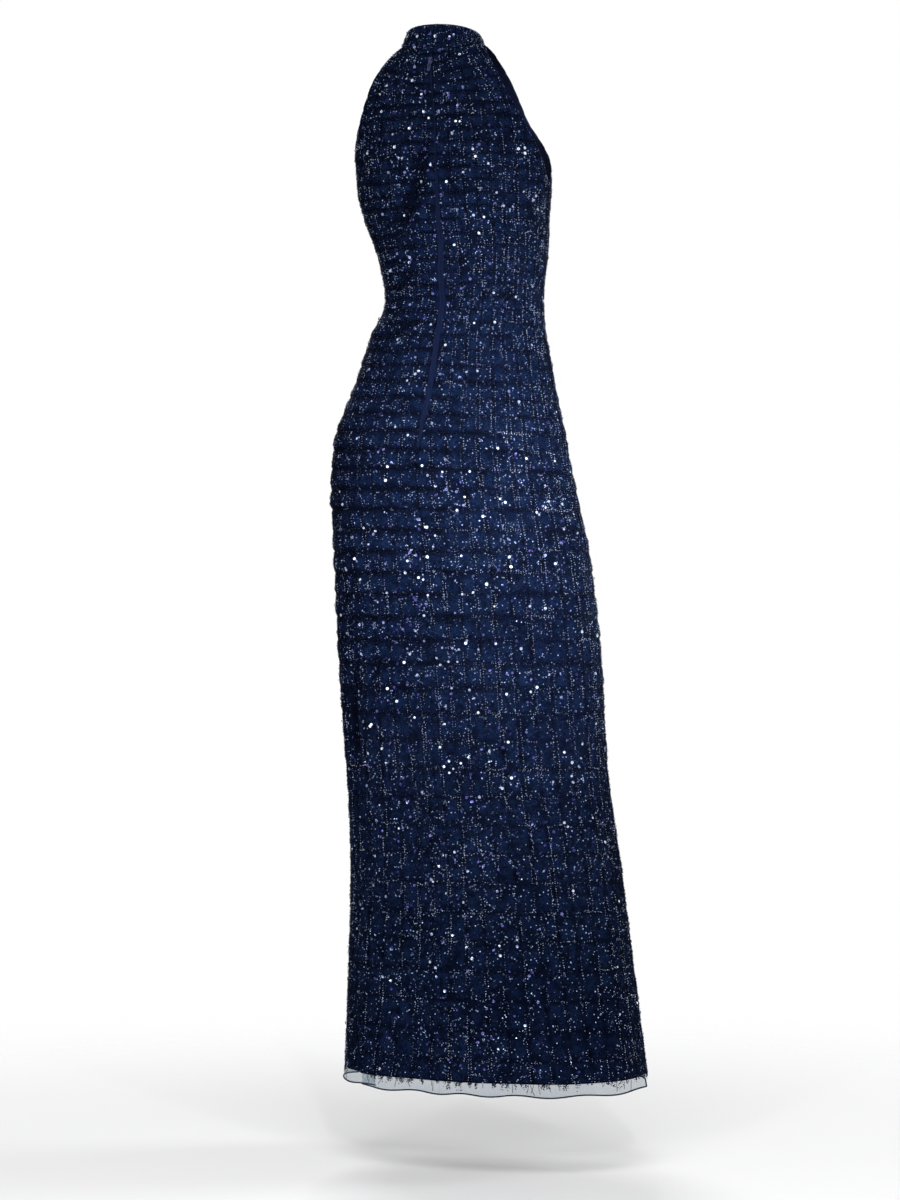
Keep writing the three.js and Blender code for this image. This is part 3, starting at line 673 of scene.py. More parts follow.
def unevenness(angle, level):
    total = 0
    for turns, phase, climb, offset in waves:
        total = total + np.sin(np.radians(turns * angle + phase) + climb * level + offset)
    return total / len(waves) * 2


def gathered(angle, level):
    strength = gather["usual"]
    for centre, spread, height, reach, more in gather["zones"]:
        strength = strength + more * bell(wrapped(angle - centre), spread) * bell(level - height, reach)
    strength = strength * (1 + gather["uneven"] * unevenness(angle, level))
    return np.clip(strength, gather["least"], gather["most"])


def rowPlace(level):
    # A level as a number of bead rows: whole on a row, with a share of the way to the next
    return np.interp(-np.asarray(level), -rowEdges, np.arange(len(rowEdges)))


def puff(angle, level):
    shape = np.interp(rowPlace(level) % 1, gather["steps"], gather["shape"])
    return gather["rise"] * readTable(sections, "pucker", level) * gathered(angle, level) * shape


# Painted shade along the bead rows where the cloth sags, as much as it is gathered and less low down, and
# in the creases
def creaseShadow(angle, level):
    dark = np.interp(rowPlace(level) % 1, gather["steps"], gather["shadow"])
    dark = dark * np.clip(gathered(angle, level) * gather["shadowGain"] - gather["shadowLoss"], 0, 1)
    dark = dark * (1 - gather["lowFade"] * smooth((gather["lowLevel"] - level) / gather["lowRun"]))
    deep = np.clip(creaseDepth(angle, level) / gather["creaseDeep"], 0, gather["creaseShadeStrength"])
    return np.clip(dark + deep, 0, 1)


def makeColumnTable():
    # Bead columns are even around the hips and keep their angle all the way up and down
    turn = np.linspace(-180, 180, 1441)
    ring = clothPoint(turn, np.full(len(turn), cloth["hipLevel"]))
    total = np.concatenate([[0], np.cumsum(np.linalg.norm(np.diff(ring, axis=0), axis=1))])
    return turn, total / total[-1] * cloth["columnsAround"]


columnTable = makeColumnTable()


def columnPlace(angle):
    # An angle as a number of bead columns, which goes on rising past the centre front
    turns = np.floor((angle + 180) / 360)
    return np.interp(wrapped(angle), *columnTable) + turns * cloth["columnsAround"]


def columnAngle(place):
    turns = np.floor(place / cloth["columnsAround"])
    return np.interp(place - turns * cloth["columnsAround"], columnTable[1], columnTable[0]) + 360 * turns


# Panels, with their edges as functions of level. A panel's share is its part of the scattered beads.
def centreLine(level):
    return readTable(seams, "centre", level)


def stripWidth(level):
    widen = smooth((strip["widenLevel"] - level) / strip["widenLength"])
    wide = strip["top"] + (strip["wide"] - strip["top"]) * widen
    taper = np.clip((level - strip["end"]) / strip["taper"], 0, 1)
    return np.where(level < strip["end"], 0, strip["tip"] + (wide - strip["tip"]) * taper)


def slitLap(level):
    lap = slit["lap"] * smooth((slit["top"] - slit["open"] - level) / slit["lapLength"])
    return lap - slit["parting"] * smooth((slit["top"] + slit["partLength"] - level) / slit["partLength"])


def slitRelief(angle, level):
    fromSeam = wrapped(angle - readTable(seams, "left", level))
    opening = smooth((slit["top"] - level) / slit["open"])
    return slit["spread"] * opening * bell(fromSeam, slit["spreadAngle"])


def sideEdge(side, panel, level):
    above = level > cloth["underarm"]
    cut = readTable(armholes, panel, level)
    if panel == "back":
        seam = readTable(seams, side, level)
        if side == "left":
            seam = seam - gapAngle(level, slitLap(level))
        return np.where(above, -cut if side == "left" else cut, seam)
    if side == "right":
        return np.where(above, 180 - cut, readTable(seams, "right", level))
    return np.where(above, 180 + cut, 360 + readTable(seams, "left", level))


panels = {
    "front": {"node": "front", "label": "Front", "slitSide": -1, "columns": 124, "share": 0.50,
              "start": lambda level: sideEdge("right", "front", level),
              "end": lambda level: sideEdge("left", "front", level)},
    "backLeft": {"node": "back_left", "label": "BackLeft", "slitSide": 1, "columns": 62, "share": 0.21,
                 "start": lambda level: sideEdge("left", "back", level),
                 "end": lambda level: centreLine(level) - gapAngle(level, stripWidth(level))},
    "backRight": {"node": "back_right", "label": "BackRight", "slitSide": 0, "columns": 68, "share": 0.29,
                  "start": lambda level: centreLine(level) + gapAngle(level, stripWidth(level)),
                  "end": lambda level: sideEdge("right", "back", level)},
}


def panelBase(panel):
    side = panel["slitSide"]
    return lambda angle, level: clothPoint(angle, level, side * slitRelief(angle, level))


def panelOuter(panel, angle, level, lift=0.0):
    base = panelBase(panel)
    out = puff(angle, level) - creaseDepth(angle, level) + lift
    return base(angle, level) + normalOf(base, angle, level) * np.asarray(out)[..., None]


def pieceOf(name, mesh):
    piece = bpy.data.objects.new(name, mesh)
    scene.collection.objects.link(piece)
    return piece


def wallMesh(name, outer, inner, innerRows, material, innerMaterial=None, grid2d=None, dark=None):
    # A closed wall: an outer grid of rows, an inner grid with fewer rows, and the edges between them
    rows, columns = outer.shape[:2]
    points = np.concatenate([outer.reshape(-1, 3), inner.reshape(-1, 3)])
    first = rows * columns
    grid = np.arange(first).reshape(rows, columns)
    back = first + np.arange(len(innerRows) * columns).reshape(len(innerRows), columns)

    def quads(a, b, c, d):
        return np.stack([a.ravel(), b.ravel(), c.ravel(), d.ravel()], axis=1)

    outside = quads(grid[:-1, :-1], grid[1:, :-1], grid[1:, 1:], grid[:-1, 1:])
    inside = quads(back[:-1, :-1], back[:-1, 1:], back[1:, 1:], back[1:, :-1])
    top = quads(grid[0, :-1], grid[0, 1:], back[0, 1:], back[0, :-1])
    foot = quads(grid[-1, :-1], back[-1, :-1], back[-1, 1:], grid[-1, 1:])
    faces = [list(f) for part in (outside, inside, top, foot) for f in part.tolist()]
    for column, flip in ((0, False), (columns - 1, True)):
        for part in range(len(innerRows) - 1):
            low, high = innerRows[part], innerRows[part + 1]
            middle = (low + high) // 2
            edges = [(grid[r, column], back[part if r < middle else part + 1, column], grid[r + 1, column])
                     for r in range(low, high)]
            edges.append((grid[middle, column], back[part, column], back[part + 1, column]))
            faces += [[int(a), int(c), int(b)] if flip else [int(a), int(b), int(c)] for a, b, c in edges]
    mesh = bpy.data.meshes.new(name)
    mesh.from_pydata(points.tolist(), [], faces)
    mesh.materials.append(finishes[material])
    if innerMaterial:
        mesh.materials.append(finishes[innerMaterial])
        slots = np.zeros(len(faces), np.int32)
        slots[len(outside):len(outside) + len(inside)] = 1
        mesh.polygons.foreach_set("material_index", slots)
    mesh.polygons.foreach_set("use_smooth", np.ones(len(faces), bool))
    if grid2d is not None:
        places = np.concatenate([grid2d.reshape(-1, 2), grid2d[innerRows].reshape(-1, 2)])
        corners = np.zeros(len(mesh.loops), np.int32)
        mesh.loops.foreach_get("vertex_index", corners)
        layer = mesh.uv_layers.new(name="grid")
        layer.data.foreach_set("uv", places[corners].reshape(-1))
        # The crease attribute carries painted shade for the bead rows and the creases
        shadow = np.concatenate([dark.reshape(-1), dark[innerRows].reshape(-1)])
        mesh.attributes.new("crease", "FLOAT", "POINT").data.foreach_set("value", shadow)
    mesh.update()
    return pieceOf(name, mesh)


def everyFew(count, step):
    rows = list(range(0, count, step))
    if rows[-1] != count - 1:
        rows.append(count - 1)
    return rows


def cutSize(start, end, levels, surface, samples=40):
    # The flat cut, from the smooth form: its widest ring, its length and its area
    shares = np.linspace(0, 1, samples)
    rings = [surface(start(l) + (end(l) - start(l)) * shares, np.full(samples, l)) for l in levels]
    widths = np.array([np.linalg.norm(np.diff(ring, axis=0), axis=1).sum() for ring in rings])
    middles = np.array([ring[samples // 2] for ring in rings])
    drops = np.linalg.norm(np.diff(middles, axis=0), axis=1)
    area = float(((widths[1:] + widths[:-1]) / 2 * drops).sum())
    return float(widths.max()), float(drops.sum()), area


stepsARow = len(gather["steps"]) - 1


def panelLevels():
    edges = np.concatenate([[0.0], beadRows, [cloth["beadedEdge"]]])
    steps = gather["steps"][:-1]
    levels = [top + (bottom - top) * share for top, bottom in zip(edges, edges[1:]) for share in steps]
    return np.array(levels + [cloth["beadedEdge"]])


def makePanel(name, panel):
    levels = panelLevels()
    shares = np.linspace(0, 1, panel["columns"] + 1)[None, :]
    start, end = panel["start"](levels)[:, None], panel["end"](levels)[:, None]
    angle = start + (end - start) * shares
    level = np.broadcast_to(levels[:, None], angle.shape)
    outer = panelOuter(panel, angle, level)
    rows = everyFew(len(levels), stepsARow)
    base = panelBase(panel)
    inside = cloth["thickness"] + creaseDepth(angle[rows], level[rows])
    inner = base(angle[rows], level[rows]) - normalOf(base, angle[rows], level[rows]) * inside[..., None]
    places = np.stack([columnPlace(angle), rowPlace(level)], axis=-1)
    piece = wallMesh(name, outer, inner, rows, "beadedNet", "lining", places, creaseShadow(angle, level))
    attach(piece, "gown")
    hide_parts(panel["node"])
    cutSize(panel["start"], panel["end"], levels[::stepsARow], base)


for key, panel in panels.items():
    makePanel(key + "Cloth", panel)
print("gown: panels made")


# The standing neckband. Its rows of beads are at shares of its height.
band = {"top": (0.052, 0.052, -0.059), "height": 0.023, "tilt": 0.0065, "thickness": 0.0018,
        "seamGap": 0.0003, "puff": 0.0009, "columns": 96, "steps": 19, "innerStep": 3,
        "rows": [0.34, 0.72], "opening": 0.0006, "cutShare": 0.93}


def bandPoint(angle, share):
    foot = sections[1][0]
    side, back, front = (foot[k] + (band["top"][k - 2] - foot[k]) * share for k in (2, 3, 4))
    radius = ringRadius(angle, side, (back - front) / 2, foot[5])
    low = neckRise(angle) + band["seamGap"]
    high = band["height"] + band["tilt"] * cosDeg(angle)
    return np.stack([-radius * sinDeg(angle), (back + front) / 2 + radius * cosDeg(angle),
                     low + (high - low) * share], axis=-1)


def bandNormal(angle, share):
    across = bandPoint(angle + 0.5, share) - bandPoint(angle - 0.5, share)
    up = bandPoint(angle, share + 0.02) - bandPoint(angle, share - 0.02)
    normal = np.cross(across, up)
    return normal / np.linalg.norm(normal, axis=-1, keepdims=True)


def bandOuter(angle, share, lift=0.0):
    stops = np.array([0.0, *band["rows"], 1.0])
    row = np.clip(np.searchsorted(stops, share, side="right") - 1, 0, len(stops) - 2)
    within = np.clip((share - stops[row]) / (stops[row + 1] - stops[row]), 0, 1)
    out = band["puff"] * np.sin(math.pi * within) + lift
    return bandPoint(angle, share) + bandNormal(angle, share) * np.asarray(out)[..., None]


def makeBand():
    edge = float(gapAngle(0.0, band["opening"] / 2))
    middle = float(centreLine(0.0))
    angles = np.linspace(middle + edge, 360 + middle - edge, band["columns"] + 1)[None, :]
    shares = np.linspace(1, 0, band["steps"])[:, None]
    angle, share = np.broadcast_arrays(angles, shares)
    rows = everyFew(band["steps"], band["innerStep"])
    inner = bandPoint(angle[rows], share[rows]) - bandNormal(angle[rows], share[rows]) * band["thickness"]
    stops = (0.0, *band["rows"], 1.0)
    places = np.stack([columnPlace(angle), np.interp(share, stops, range(len(stops)))], axis=-1)
    piece = wallMesh("neckbandCloth", bandOuter(angle, share), inner, rows, "beadedNet", "lining", places,
                     np.zeros(angle.shape))
    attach(piece, "gown")
    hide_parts("neckband")


makeBand()
print("gown: neckband made")


# The plain strips beside the zip
def makeStrip(side):
    levels = panelLevels()
    levels = levels[levels >= strip["end"]]
    near = gapAngle(levels, strip["seamGap"])
    far = gapAngle(levels, stripWidth(levels) - strip["edgeGap"])
    start, end = (near, far) if side > 0 else (-far, -near)
    shares = np.linspace(0, 1, strip["points"])[None, :]
    angle = (centreLine(levels) + start)[:, None] + (end - start)[:, None] * shares
    level = np.broadcast_to(levels[:, None], angle.shape)
    across = shares if side > 0 else 1 - shares
    rounded = strip["proud"] + strip["rounding"] * np.sin(math.pi * across * 0.5 + 0.6)
    out = np.broadcast_to(rounded, angle.shape)[..., None]
    outer = clothPoint(angle, level) + normalOf(clothPoint, angle, level) * out
    rows = everyFew(len(levels), stepsARow)
    inner = clothPoint(angle[rows], level[rows]) - normalOf(
        clothPoint, angle[rows], level[rows]) * cloth["thickness"]
    name = "zipStripRight" if side > 0 else "zipStripLeft"
    piece = wallMesh(name, outer, inner, rows, "plainNet")
    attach(piece, "gown")
    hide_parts("zip_strip_right" if side > 0 else "zip_strip_left")


makeStrip(-1)
makeStrip(1)
print("gown: zip strips made")


# Beads: each shape is modelled once and stamped over the cloth
def modelShape(primitive, flip=False, twoSided=False, **how):
    bpy.ops.object.select_all(action="DESELECT")
    primitive(**how)
    shape = bpy.context.object
    bpy.ops.object.mode_set(mode="EDIT")
    bpy.ops.mesh.select_all(action="SELECT")
    if twoSided:
        bpy.ops.mesh.symmetrize(direction="POSITIVE_Z")
        bpy.ops.mesh.select_all(action="SELECT")
    bpy.ops.mesh.normals_make_consistent(inside=flip)
    bpy.ops.mesh.quads_convert_to_tris()
    bpy.ops.object.mode_set(mode="OBJECT")
    points = np.array([shape.matrix_world @ v.co for v in shape.data.vertices])
    faces = np.array([f.vertices[:] for f in shape.data.polygons])
    bpy.data.objects.remove(shape, do_unlink=True)
    return points, faces


beadShapes = {
    "seed": modelShape(bpy.ops.mesh.primitive_cone_add, twoSided=True, vertices=4, radius1=1, depth=0.9,
                       end_fill_type="NOTHING", location=(0, 0, 0.45)),
    "speck": modelShape(bpy.ops.mesh.primitive_cone_add, vertices=3, radius1=1, depth=1.5),
    "bugle": modelShape(bpy.ops.mesh.primitive_cylinder_add, vertices=3, radius=1, depth=2),
    "sequin": modelShape(bpy.ops.mesh.primitive_cone_add, flip=True, vertices=8, radius1=0.30, radius2=1,
                         depth=0.16, end_fill_type="NOTHING"),
}


def randomTurns(count):
    turn = dice.normal(size=(count, 4))
    turn /= np.linalg.norm(turn, axis=1, keepdims=True)
    w, x, y, z = turn.T
    return np.stack([
        np.stack([1 - 2 * (y * y + z * z), 2 * (x * y - z * w), 2 * (x * z + y * w)], axis=1),
        np.stack([2 * (x * y + z * w), 1 - 2 * (x * x + z * z), 2 * (y * z - x * w)], axis=1),
        np.stack([2 * (x * z - y * w), 2 * (y * z + x * w), 1 - 2 * (x * x + y * y)], axis=1),
    ], axis=1)


def facingTurns(normals, tilt):
    # Turns that lay a shape's flat side on the cloth, each tipped a little at random
    tipped = normals + dice.normal(scale=tilt, size=normals.shape)
    tipped /= np.linalg.norm(tipped, axis=1, keepdims=True)
    other = dice.normal(size=normals.shape)
    side = np.cross(tipped, other)
    side /= np.linalg.norm(side, axis=1, keepdims=True)
    return np.stack([side, np.cross(tipped, side), tipped], axis=2)


triangleCount = {}


def stamp(name, shape, places, turns, sizes, tones, finish):
    points, faces = beadShapes[shape]
    count = len(places)
    scaled = points[None] * np.asarray(sizes)[:, None, :]
    moved = np.einsum("nij,nkj->nki", turns, scaled) + places[:, None, :]
    everyFace = (faces[None] + (np.arange(count) * len(points))[:, None, None]).reshape(-1, 3)
    mesh = bpy.data.meshes.new(name)
    mesh.vertices.add(count * len(points))
    mesh.vertices.foreach_set("co", moved.reshape(-1))
    mesh.loops.add(everyFace.size)
    mesh.loops.foreach_set("vertex_index", everyFace.reshape(-1).astype(np.int32))
    mesh.polygons.add(len(everyFace))
    mesh.polygons.foreach_set("loop_start", np.arange(0, everyFace.size, 3, dtype=np.int32))
    mesh.polygons.foreach_set("loop_total", np.full(len(everyFace), 3, np.int32))
    mesh.polygons.foreach_set("use_smooth", np.zeros(len(everyFace), bool))
    mesh.attributes.new("tone", "FLOAT", "POINT").data.foreach_set("value", np.repeat(tones, len(points)))
    mesh.materials.append(finishes[finish])
    mesh.update(calc_edges=True)
    piece = pieceOf(name, mesh)
    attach(piece, "gown")
    triangleCount[name] = len(everyFace)


beading = {
    "pitch": 0.0036, "rowPair": 0.0011, "columnPair": 0.0021, "jitter": 0.0002, "missing": 0.08,
    "seedSize": 0.00105, "seedLift": 0.0006, "edgeMargin": 0.0016, "topMargin": 0.002, "footMargin": 0.001,
    # rows sink into the cloth where it is gathered more than this, and painted shade darkens the beads in
    # its creases
    "sinkFrom": 0.35, "sink": 0.0009, "shadeDimFrom": 0.3, "shadeDim": 0.8,
    # the shares of the rows' and the columns' beads that shine anywhere, and from which tone they do, as a
    # painted highlight
    "rowShine": 0.12, "columnShine": 0.40, "shineFrom": 0.80, "dullSize": 0.85, "shineSize": 0.35,
    # scattered beads keep near the lines, as shares of a pane, and are sparser higher up
    "lineReach": (0.24, 0.20), "tries": 8, "sparseAbove": 0.45, "sparseLevel": -1.2, "sparseRun": 0.3,
    "chains": 7700, "chainBeads": 6, "chainStep": 0.0023, "chainTurn": 0.55, "chainBias": 0.75,
    "speckSize": 0.00088, "speckLift": 0.0004, "speckTone": 0.92,
    "bugles": 5200, "bugleSize": (0.0005, 0.0005, 0.0015), "bugleLift": 0.0004, "bugleTilt": 0.15,
    "bugleDim": 0.08, "bugleBias": 0.5,
    "sequins": 4100, "sequinSize": 0.0019, "sequinLift": 0.0010, "sequinTilt": 0.22, "sequinBias": 0.3,
    "dullLow": 0.42, "dullLevel": -0.95, "dullRun": 0.3, "sequinShine": 0.35,
    # painted light, where the lines of beads and the sequins are lighter as if lit: angle, its spread,
    # level, its spread, strength
    "litZones": [(62, 46, -0.66, 0.17, 0.70), (20, 40, -0.80, 0.42, 0.36), (-30, 30, -0.62, 0.34, 0.20),
               (70, 40, -0.27, 0.12, 0.25), (150, 50, -0.62, 0.30, 0.50), (232, 46, -0.80, 0.40, 0.40)],
}


def spacedAlong(path, pitch):
    # Even steps along a sampled path, as fractions of its samples
    lengths = np.linalg.norm(np.diff(path, axis=0), axis=1)
    total = np.concatenate([[0], np.cumsum(lengths)])
    marks = np.arange(pitch / 2, total[-1], pitch)
    return np.interp(marks, total, np.linspace(0, 1, len(total)))


def seamMargin(level, margin):
    # Beads run up to the centre back below the zip's strips
    return np.where(level < strip["end"], 0.3 * margin, margin)


def insidePanel(panel, angle, level, margin):
    away = gapAngle(level, seamMargin(level, margin))
    top = level < -beading["topMargin"]
    foot = level > cloth["beadedEdge"] + beading["footMargin"]
    return top & foot & (angle > panel["start"](level) + away) & (angle < panel["end"](level) - away)


def rowBeadPlaces(panel):
    angles, levels = [], []
    for row in beadRows:
        for side in (-1, 1):
            level = row + side * beading["rowPair"]
            margin = float(gapAngle(level, seamMargin(level, beading["edgeMargin"])))
            start = float(panel["start"](level)) + margin
            end = float(panel["end"](level)) - margin
            samples = np.linspace(start, end, 90)
            at = spacedAlong(panelBase(panel)(samples, np.full(len(samples), level)), beading["pitch"])
            angles.append(start + (end - start) * at)
            levels.append(np.full(len(at), level))
    return np.concatenate(angles), np.concatenate(levels)


def columnBeadPlaces(panel):
    angles, levels = [], []
    samples = np.linspace(-0.003, cloth["beadedEdge"] + 0.002, 500)
    marks = np.linspace(0, 1, len(samples))
    first = math.ceil(float(columnPlace(panel["start"](samples).min())))
    last = math.floor(float(columnPlace(panel["end"](samples).max())))
    for column in range(first, last + 1):
        for side in (-1, 1):
            angle = float(columnAngle(column)) + side * gapAngle(samples, beading["columnPair"])
            at = spacedAlong(panelBase(panel)(angle, samples), beading["pitch"])
            level = np.interp(at, marks, samples)
            spot = np.interp(at, marks, angle)
            keep = insidePanel(panel, spot, level, beading["edgeMargin"])
            angles.append(spot[keep])
            levels.append(level[keep])
    return np.concatenate(angles), np.concatenate(levels)


def nearGrid(angle, level):
    # 1 on a bead line, falling to 0 in the middle of a pane
    column = np.abs((columnPlace(angle) + 0.5) % 1 - 0.5)
    row = np.abs((rowPlace(level) + 0.5) % 1 - 0.5)
    besideColumn, besideRow = beading["lineReach"]
    return np.maximum(bell(column, besideColumn), bell(row, besideRow))


def scatteredPlaces(panel, count, bias):
    wanted = int(count * panel["share"])
    level = dice.uniform(cloth["beadedEdge"] + 0.002, -0.004, wanted * beading["tries"])
    start, end = panel["start"](level), panel["end"](level)
    width = (end - start) * readTable(sections, "side", level)
    angle = start + (end - start) * dice.uniform(0, 1, len(level))
    chance = width / width.max() * (1 - bias + bias * nearGrid(angle, level))
    chance = chance * (1 - beading["sparseAbove"] * smooth(
        (level - beading["sparseLevel"]) / beading["sparseRun"]))
    kept = dice.uniform(0, 1, len(level)) < chance
    kept &= insidePanel(panel, angle, level, beading["edgeMargin"])
    return angle[kept][:wanted], level[kept][:wanted]


def chainPlaces(panel):
    # Short curling strings of beads
    angle, level = scatteredPlaces(panel, beading["chains"], beading["chainBias"])
    heading = dice.uniform(0, 2 * math.pi, len(angle))
    curl = dice.normal(scale=beading["chainTurn"], size=len(angle))
    angles, levels = [], []
    for _ in range(beading["chainBeads"]):
        keep = insidePanel(panel, angle, level, beading["edgeMargin"])
        angles.append(angle[keep])
        levels.append(level[keep])
        angle = angle + gapAngle(level, beading["chainStep"]) * np.cos(heading)
        level = level + beading["chainStep"] * np.sin(heading)
        heading = heading + curl
    return np.concatenate(angles), np.concatenate(levels)


def thinned(angle, level, missing):
    keep = dice.uniform(size=len(angle)) > missing
    angle, level = angle[keep], level[keep]
    angle = angle + gapAngle(level, 1.0) * dice.normal(scale=beading["jitter"], size=len(angle))
    return angle, level + dice.normal(scale=beading["jitter"], size=len(level))


def seedSizes(count, size):
    return np.repeat(size * dice.uniform(0.8, 1.2, (count, 1)), 3, axis=1)


# Painted light: how strongly the lit zones lighten the beads here
def paintedLight(angle, level):
    total = 0
    for centre, spread, height, reach, more in beading["litZones"]:
        total = total + more * bell(wrapped(angle - centre), spread) * bell(level - height, reach)
    return np.clip(total, 0, 1)


def creaseShadeDim(angle, level):
    # How far painted shade darkens the beads in a deep crease
    return beading["shadeDim"] * np.clip(creaseShadow(angle, level) - beading["shadeDimFrom"], 0, 1)


def beadTones(count, dim=0.0):
    # Most beads are dark and a few are light
    return dice.uniform(0, 1, count) * (1 - dim)


stretches = dice.uniform(0, 1, (97, 131))


def lineTones(angle, level, least):
    # A line of beads is painted light along whole stretches, from one crossing to the next, as a painted
    # highlight, more often in the lit zones
    column = np.floor(columnPlace(angle) * 2).astype(int) % stretches.shape[0]
    row = np.floor(rowPlace(level) * 2).astype(int) % stretches.shape[1]
    shines = stretches[column, row] < least + (1 - least) * paintedLight(angle, level)
    count, limit = len(angle), beading["shineFrom"]
    tone = np.where(shines, dice.uniform(limit, 1.0, count), dice.uniform(0.0, limit, count))
    return tone * (1 - creaseShadeDim(angle, level))


def beadPanel(panel):
    label, base = panel["label"], panelBase(panel)

    def addBeads(kind, shape, angle, level, lift, size, tones):
        places = panelOuter(panel, angle, level, lift)
        grown = beading["dullSize"] + beading["shineSize"] * (tones > beading["shineFrom"])
        sizes = seedSizes(len(places), size) * grown[:, None]
        stamp(kind + label, shape, places, randomTurns(len(places)), sizes, tones, "seedBeads")

    angle, level = thinned(*rowBeadPlaces(panel), beading["missing"])
    sunk = beading["sink"] * np.clip(gathered(angle, level) - beading["sinkFrom"], 0, 1)
    addBeads("rowBeads", "seed", angle, level, beading["seedLift"] - sunk, beading["seedSize"],
             lineTones(angle, level, beading["rowShine"]))
    angle, level = thinned(*columnBeadPlaces(panel), beading["missing"])
    addBeads("columnBeads", "seed", angle, level, beading["seedLift"], beading["seedSize"],
             lineTones(angle, level, beading["columnShine"]))
    angle, level = chainPlaces(panel)
    addBeads("chains", "speck", angle, level, beading["speckLift"], beading["speckSize"],
             beading["speckTone"] * beadTones(len(angle), creaseShadeDim(angle, level)))

    angle, level = scatteredPlaces(panel, beading["bugles"], beading["bugleBias"])
    count = len(angle)
    flat = facingTurns(normalOf(base, angle, level), beading["bugleTilt"])
    stamp("bugles" + label, "bugle", panelOuter(panel, angle, level, beading["bugleLift"]),
          flat[:, :, [1, 2, 0]], np.tile(beading["bugleSize"], (count, 1)),
          beadTones(count, beading["bugleDim"]), "seedBeads")

    angle, level = scatteredPlaces(panel, beading["sequins"], beading["sequinBias"])
    count = len(angle)
    # Sequin tones: lighter in the lit zones, as painted light, and darker lower down
    lowPower = 1 - beading["dullLow"] * smooth((beading["dullLevel"] - level) / beading["dullRun"])
    dull = 1 - beading["sequinShine"] * paintedLight(angle, level)
    stamp("sequins" + label, "sequin", panelOuter(panel, angle, level, beading["sequinLift"]),
          facingTurns(normalOf(base, angle, level), beading["sequinTilt"]),
          seedSizes(count, beading["sequinSize"]),
          1 - dice.uniform(0, 1, count) ** lowPower * dull, "sequins")


for panel in panels.values():
    beadPanel(panel)


armholeLine = {"top": -0.004, "footGap": 0.002, "samples": 160, "inset": 0.0009, "pitch": 0.0021,
               "lift": 0.0002, "size": 0.0010}


def edgeBeads(name, panel, side):
    # A close line of beads along an armhole's edge
    foot = cloth["underarm"] - armholeLine["footGap"]
    levels = np.linspace(armholeLine["top"], foot, armholeLine["samples"])
    inset = gapAngle(levels, armholeLine["inset"])
    angle = panel["start"](levels) + inset if side < 0 else panel["end"](levels) - inset
    at = spacedAlong(panelBase(panel)(angle, levels), armholeLine["pitch"])
    marks = np.linspace(0, 1, len(levels))
    level = np.interp(at, marks, levels)
    places = panelOuter(panel, np.interp(at, marks, angle), level, armholeLine["lift"])
    stamp(name, "seed", places, randomTurns(len(places)), seedSizes(len(places), armholeLine["size"]),
          beadTones(len(places)), "seedBeads")


edgeBeads("armholeBeadsFrontRight", panels["front"], -1)
edgeBeads("armholeBeadsFrontLeft", panels["front"], 1)
edgeBeads("armholeBeadsBackLeft", panels["backLeft"], -1)
edgeBeads("armholeBeadsBackRight", panels["backRight"], 1)


bandBeads = {"start": 5, "end": 361, "samples": 300, "low": 0.04, "high": 0.97, "rowPair": 0.03,
             "pitch": 0.9 * beading["pitch"], "columnRun": (0.08, 0.92), "columnBeads": 9,
             "loose": 900, "looseRun": (0.03, 0.97), "seedSize": 0.00088, "seedLift": 0.0005,
             "sequins": 110, "sequinLift": 0.0009}


def beadBand():
    angles, shares = [], []
    start, end, each = bandBeads["start"], bandBeads["end"], bandBeads["columnBeads"]
    ring = np.linspace(start, end, bandBeads["samples"])
    for row in (bandBeads["low"], *band["rows"], bandBeads["high"]):
        for side in (-1, 1):
            share = row + side * bandBeads["rowPair"]
            at = spacedAlong(bandPoint(ring, np.full(len(ring), share)), bandBeads["pitch"])
            angles.append(start + (end - start) * at)
            shares.append(np.full(len(at), share))
    firstColumn, lastColumn = math.ceil(float(columnPlace(start))), math.floor(float(columnPlace(end)))
    columns = columnAngle(np.arange(firstColumn, lastColumn))
    beside = float(gapAngle(0.0, beading["columnPair"]))
    for side in (-1, 1):
        angles.append(np.repeat(columns + side * beside, each))
        shares.append(np.tile(np.linspace(*bandBeads["columnRun"], each), len(columns)))
    angles.append(dice.uniform(start, end, bandBeads["loose"]))
    shares.append(dice.uniform(*bandBeads["looseRun"], bandBeads["loose"]))
    angle, share = np.concatenate(angles), np.concatenate(shares)
    places = bandOuter(angle, share, bandBeads["seedLift"])
    stamp("beadsNeckband", "seed", places, randomTurns(len(places)),
          seedSizes(len(places), bandBeads["seedSize"]), beadTones(len(places)), "seedBeads")
    count = bandBeads["sequins"]
    angle, share = dice.uniform(start, end, count), dice.uniform(*bandBeads["columnRun"], count)
    stamp("sequinsNeckband", "sequin", bandOuter(angle, share, bandBeads["sequinLift"]),
          facingTurns(bandNormal(angle, share), beading["sequinTilt"]),
          seedSizes(count, beading["sequinSize"]), dice.uniform(0, 1, count), "sequins")


beadBand()
print("gown: beads stamped, shapes of", {name: len(made[1]) for name, made in beadShapes.items()})


# The sheer border under the beading, with its overlocked edge
border = {"thickness": 0.0004, "inset": 0.0006, "rows": 9, "degreesAColumn": 1.2,
          # turns, phase, depth, drop
          "waves": [(9, 40, 0.002, 0), (17, 0, 0.0012, 0), (13, 70, 0, 0.0016)],
          # it starts behind the beading, as a share of its height, and its cut is a little more than shows
          "hidden": 0.12, "cutWidth": 1.03, "cutLength": 1.12,
          "edgeRadius": 0.0011, "edgeLift": -0.0002, "edgeSides": 6}


def borderPoint(panel, angle, share, distance):
    base = panelBase(panel)
    level = cloth["beadedEdge"] + (cloth["hem"] - cloth["beadedEdge"]) * share
    out, drop = distance - border["inset"], 0
    for turns, phase, deep, fall in border["waves"]:
        wave = sinDeg(angle * turns + phase)
        out = out + share * deep * wave
        drop = drop + share * share * fall * wave
    place = base(angle, level) + normalOf(base, angle, level) * np.asarray(out)[..., None]
    place[..., 2] += drop
    return place


